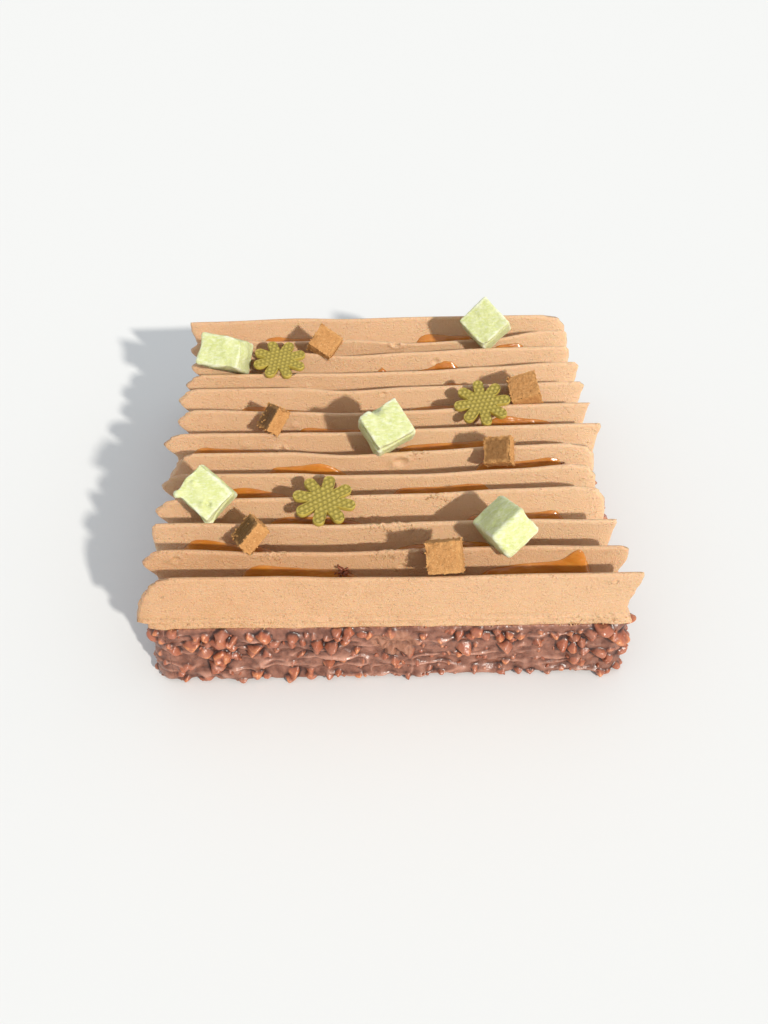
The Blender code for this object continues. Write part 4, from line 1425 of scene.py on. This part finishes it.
@dataclass
class Wafer:
    """A flower cut from waffled wafer."""

    petals: int = 8
    radius: float = 12.4 * MM
    half: float = 2.3 * MM
    thickness: float = 2.2 * MM
    pitch: float = 2.05 * MM
    bump: float = 0.5 * MM
    sectors: int = 400
    rings: int = 56
    rim: float = 0.35 * MM
    rim_rings: int = 8
    under_rings: int = 6
    broad: float = 0.6

    def reach(self, angle: Array) -> Array:
        """How far the outline is from the middle: a petal's flank, or its round tip."""
        centre = self.radius - self.half
        part = 2 * math.pi / self.petals
        off = np.abs((angle + 0.5 * part) % part - 0.5 * part)
        across = np.minimum(centre * np.sin(off), self.half)
        tip = centre * np.cos(off) + np.sqrt(self.half**2 - across**2)
        flank = self.half / np.sin(np.maximum(off, 0.01))
        return np.where(off < math.atan2(self.half, centre), tip, flank)

    def build(self, number: int) -> tuple[Array, Array, Array]:
        """The flower about its own middle: waffled top, rounded rim, plain underside.

        Args:
            number: picks its small unevenness.

        Returns:
            Points, faces and the mask of hollows, which paints shade into them.
        """
        angle = np.linspace(0, 2 * math.pi, self.sectors, endpoint=False)
        reach = self.reach(angle)
        over, under = np.linspace(0, 1, self.rings) ** 0.8, np.linspace(1, 0, self.under_rings)
        share = np.concatenate([over, np.ones(self.rim_rings), under])
        rounding = np.linspace(0, 1, self.rim_rings)
        turn = np.concatenate([np.zeros(self.rings), rounding, np.ones(self.under_rings)])
        rim = self.rim * np.sin(math.pi * turn)
        length = share[:, None] * reach - (self.rim - rim)[:, None] * step(share, 0.8, 1.0)[:, None]
        x, y = length * np.cos(angle), length * np.sin(angle)
        z = 0.5 * self.thickness * np.cos(math.pi * turn)[:, None] + np.zeros_like(x)
        flat = np.stack([x, y, z], -1)
        skew = 0.6 * MM * np.sin(math.pi * y / self.pitch)
        waffle = np.sin(math.pi * (x + skew) / self.pitch) ** 2 * np.sin(math.pi * y / self.pitch) ** 2
        waffle = waffle**self.broad  # broad raised spots between narrow grooves
        inner = step(reach[None] - length, 0.1 * MM, 0.5 * MM) * (turn == 0)[:, None]
        flat[..., 2] += self.bump * (waffle - 1) * inner + 0.06 * MM * layered(flat, 2 * MM, number)
        faces = grid_faces(len(share), self.sectors, close_columns=True)
        return flat.reshape(-1, 3), faces, ((1 - waffle) * inner).ravel()


def row_node(number: int) -> str:
    """The CAD node of a row, the back row being number 0."""
    return f"row_{number + 1:02d}"


@dataclass
class Cake:
    """The whole cake: every family of pieces, in the frame.

    Dark crumbs are heaps given by row, X in mm, share of the row's height, width in mm and count.
    """

    cream: PipedCream = field(default_factory=PipedCream)
    edge_crumbs: int = 70
    dark_crumbs: tuple = ((12, -17.5, 0.66, 3.6, 30), (8, 74.0, 0.67, 1.6, 6), (12, 12.0, 0.97, 1.4, 5))

    def __post_init__(self) -> None:
        """Make what depends on the cream, and the finishes."""
        self.slab = Slab(self.cream)
        self.caramel = SoftCaramel(self.cream)
        self.dents = Dents((*MARSHMALLOWS, *CARAMELS), FLOWERS)
        self.materials = {paint: paint.value[1].material() for paint in Paint}

    def put(
        self, name: str, mesh: tuple[Array, Array], paint: Paint, nodes: tuple, masks: dict | None = None
    ) -> None:
        """Put a piece into the scene on the cake's body.

        Args:
            name: the piece's name.
            mesh: its points and faces.
            paint: its finish and its slot in the record.
            nodes: the CAD nodes that it stands for.
            masks: the values that its finish reads.
        """
        points, faces = mesh
        above = np.maximum(points, [-1, -1, 0])  # nothing lies below the floor
        thing = put_mesh(name, above, faces, masks)
        thing.data.materials.append(self.materials[paint])
        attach(thing, "root")
        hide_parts(*nodes)
        LOG.info("%s: %d triangles", name, sum(len(face.vertices) - 2 for face in thing.data.polygons))

    def add_slab(self) -> None:
        """The four quarters of the slab, and scraps of nut on its walls."""
        draw = np.random.default_rng(11)
        spots = []
        for side in range(4):
            points, faces, masks, wall = self.slab.wall(side)
            self.put(f"glaze_{side + 1}", (points, faces), Paint.COATING, ("slab",), masks)
            column = draw.integers(0, wall.shape[0], 60)
            row = draw.integers(2, wall.shape[1] - 1, 60)
            spots.append(wall[column, row])
        spots = np.concatenate(spots)
        sizes = draw.uniform(0.7, 2.2, len(spots)) * MM
        mesh = Crumbs().build(spots, sizes, 12, CrumbForm.NUT)
        masks = {"nut": np.full(len(mesh[0]), 0.7), "thin": 0.9 * layered(mesh[0], 1.5 * MM, 3).clip(0, 1)}
        self.put("nut_scraps", mesh, Paint.COATING, ("slab",), masks)

    def add_rows(self) -> None:
        """The piped rows with the soft caramel in front of them."""
        for number, line in enumerate(self.cream.lines):
            mesh = self.cream.build(number, self.dents)
            # the mask pale paints a sheen onto the cream
            masks = {"pale": self.cream.painted_sheen(mesh[0])}
            self.put(f"cream_{number + 1:02d}", mesh, Paint.CREAM, (row_node(number),), masks)
            for part, strand in enumerate(line.strands, 1):
                points, faces = self.caramel.build(number, strand)
                mesh = self.dents.press(points), faces
                self.put(f"strand_{number + 1:02d}_{part}", mesh, Paint.SAUCE, (row_node(number),))

    def add_crumbs(self) -> None:
        """Crumbs of cream on the torn crests and at the front's foot, and dark crumbs between the rows."""
        draw = np.random.default_rng(5)
        for number, line in enumerate(self.cream.lines):
            spots = []
            for start, end in line.torn:
                count = int(1.5 * (end - start)) + 4
                x = draw.uniform(start - 1.5, end + 1.5, count)
                spots.append(self.cream.front_flank(number, x, draw.uniform(0.86, 0.99, count)))
            if spots:
                spots = np.concatenate(spots) + [0, -0.1 * MM, 0.1 * MM]
                sizes = draw.uniform(0.3, 1.1, len(spots)) * MM
                mesh = Crumbs().build(spots, sizes, number, CrumbForm.FLAKE)
                self.put(f"cream_crumbs_{number + 1:02d}", mesh, Paint.CREAM, (row_node(number),))
        x = np.concatenate([draw.uniform(62, 88, 46), draw.uniform(-88, 85, 50)])
        spots = self.cream.front_flank(self.cream.last, x, draw.uniform(0.01, 0.17, len(x)))
        sizes = draw.uniform(0.4, 1.3, len(x)) * MM
        mesh = Crumbs().build(spots + [0, -0.45 * MM, 0], sizes, 31, CrumbForm.SMEAR)
        self.put("foot_crumbs", mesh, Paint.CREAM, (row_node(self.cream.last),))
        for row, x, level, wide, count in self.dark_crumbs:
            middle = self.cream.front_flank(row - 1, np.full(1, x), np.full(1, level))
            spots = middle + [0, -0.4 * wide * MM, 0] + draw.normal(0, 0.28 * wide * MM, (count, 3))
            sizes = draw.uniform(0.2, 0.42, count) * wide * MM
            mesh = Crumbs().build(spots, sizes, row, CrumbForm.SPLINTER)
            masks = {"thin": 0.4 * layered(mesh[0], MM, 2).clip(0, 1), "nut": np.full(len(mesh[0]), 0.5)}
            self.put(f"dark_crumbs_{row:02d}_{count}", mesh, Paint.COATING, (row_node(row - 1),), masks)

    def add_marshmallows(self) -> None:
        """The five marshmallows, with starch along their edges."""
        block = Block()
        for number, cube in enumerate(MARSHMALLOWS, 1):
            points, faces, edge, _ = block.build(cube, number)
            starch = 0.75 * edge * (0.5 + 0.9 * layered(points, 2.5 * MM, number))
            mesh = turned(points, cube.turn, cube.middle), faces
            masks = {"starch": starch.clip(0, 1)}
            self.put(f"marshmallow_cube_{number}", mesh, Paint.MARSHMALLOW, (f"marshmallow_{number}",), masks)

    def add_caramels(self) -> None:
        """The six caramel cubes, crumbly along their edges."""
        block = Block(
            steps=54, radius=0.3 * MM, swell=0.25 * MM, grain=0.22 * MM, grain_size=MM, crumble=0.45 * MM
        )
        crumbs = []
        for number, cube in enumerate(CARAMELS, 1):
            points, faces, edge, facing = block.build(cube, number + 10)
            away = turned(facing, cube.turn, (0, 0, 0)) @ np.array(cube.cut_way)
            broken = 0.5 + layered(points, 1.4 * MM, number)
            cut = cube.cut * step(away, 0.6, 0.8) * (1 - edge * broken).clip(0, 1)
            mesh = turned(points, cube.turn, cube.middle), faces
            masks = {"cut": cut, "crust": 0.8 * (edge * broken).clip(0, 1)}
            self.put(f"caramel_cube_{number}", mesh, Paint.CARAMEL, (f"caramel_{number}",), masks)
            crumbs.append(self.cube_crumbs(cube, number))
        spots, sizes = (np.concatenate(parts) for parts in zip(*crumbs))
        mesh = Crumbs().build(spots, sizes, 21, CrumbForm.ROUND)
        nodes = tuple(f"caramel_{number + 1}" for number in range(len(CARAMELS)))
        masks = {"cut": np.zeros(len(mesh[0])), "crust": np.full(len(mesh[0]), 0.8)}
        self.put("caramel_crumbs", mesh, Paint.CARAMEL, nodes, masks)

    def cube_crumbs(self, cube: Cube, number: int) -> tuple[Array, Array]:
        """Where crumbs cling to a caramel cube: along its edges, and on its upper face.

        Args:
            cube: the cube.
            number: picks the places.

        Returns:
            The places and sizes.
        """
        draw = np.random.default_rng(number + 60)
        count, more = self.edge_crumbs, cube.crumbs
        spots = draw.choice([-1.0, 1.0], (count, 3))
        spots[np.arange(count), draw.integers(0, 3, count)] = draw.uniform(-1, 1, count)
        upper = np.column_stack([draw.uniform(0, 1, more) ** 2 - 1, draw.uniform(-1, 1, more), np.ones(more)])
        half = 0.5 * MM * np.array(cube.size)
        spots = np.concatenate([spots, upper]) * half * 0.985
        spots += draw.normal(0, 0.08 * MM, (count + more, 3))
        sizes = np.concatenate([draw.uniform(0.25, 0.75, count), draw.uniform(0.5, 1.1, more)]) * MM
        return turned(spots, cube.turn, cube.middle), sizes

    def add_flowers(self) -> None:
        """The three wafer flowers."""
        for number, (middle, turn) in enumerate(FLOWERS, 1):
            points, faces, hollow = Wafer().build(number)
            mesh = turned(points, turn, middle), faces
            # the mask hollow paints shade into the waffle's hollows
            self.put(f"wafer_{number}", mesh, Paint.WAFER, (f"flower_{number}",), {"hollow": hollow})


@dataclass
class Studio:
    """Pale floor, sun, sky and camera. Angles are in degrees, the lens in mm."""

    lens: float = 32.65
    place: tuple = (-0.0033, -0.3080, 0.2993)
    down: float = 43.99
    yaw: float = 0.45
    roll: float = -1.04
    to_sun: tuple = (0.50, -0.715, 0.486)
    sun: float = 3.3
    sun_width: float = 2.5
    sun_colour: tuple = (1.0, 0.96, 0.88)
    sky: float = 0.70
    sky_colour: tuple = (0.93, 0.97, 1.0, 1)
    floor_half: float = 3.0
    floor_grey: float = 0.8

    def build(self) -> None:
        """Put everything round the cake."""
        scene = bpy.context.scene
        scene.view_settings.view_transform = "Standard"
        self.floor()
        sun = bpy.data.lights.new("sun", "SUN")
        sun.energy = self.sun
        sun.angle = math.radians(self.sun_width)
        sun.color = self.sun_colour
        lamp = bpy.data.objects.new("sun", sun)
        lamp.rotation_mode = "QUATERNION"
        lamp.rotation_quaternion = Vector(self.to_sun).to_track_quat("Z", "Y")
        scene.collection.objects.link(lamp)
        world = bpy.data.worlds.new("sky")
        world.use_nodes = True
        light = world.node_tree.nodes["Background"].inputs
        light["Color"].default_value = self.sky_colour
        light["Strength"].default_value = self.sky
        scene.world = world
        self.camera()

    def floor(self) -> None:
        """A plain pale plane under the cake."""
        points = self.floor_half * np.array([[-1, -1, 0], [1, -1, 0], [1, 1, 0], [-1, 1, 0]])
        plane = put_mesh("floor", points, np.array([[0, 1, 2, 3]]))
        plane.data.materials.append(Graph("floor").finish((self.floor_grey,) * 3, 0.9))

    def camera(self) -> None:
        """The photo's view: down, turned a little and rolled."""
        down, yaw, roll = (math.radians(angle) for angle in (self.down, self.yaw, self.roll))
        ahead = Vector((math.sin(yaw) * math.cos(down), math.cos(yaw) * math.cos(down), -math.sin(down)))
        right = Vector((math.cos(yaw), -math.sin(yaw), 0))
        above = right.cross(ahead)
        level = math.cos(roll) * right + math.sin(roll) * above
        upright = -math.sin(roll) * right + math.cos(roll) * above
        camera = bpy.data.cameras.new("camera")
        camera.lens = self.lens
        camera.clip_start = 0.01
        view = bpy.data.objects.new("camera", camera)
        turn = Matrix((level, upright, -ahead)).transposed().to_4x4()
        view.matrix_world = Matrix.Translation(self.place) @ turn
        bpy.context.scene.collection.objects.link(view)
        bpy.context.scene.camera = view


def main() -> None:
    """Build the cake, then the studio."""
    logging.basicConfig(level=logging.INFO, format="%(message)s")
    cake = Cake()
    cake.add_slab()
    cake.add_rows()
    cake.add_crumbs()
    cake.add_marshmallows()
    cake.add_caramels()
    cake.add_flowers()
    Studio().build()


if __name__ == "__main__":
    main()
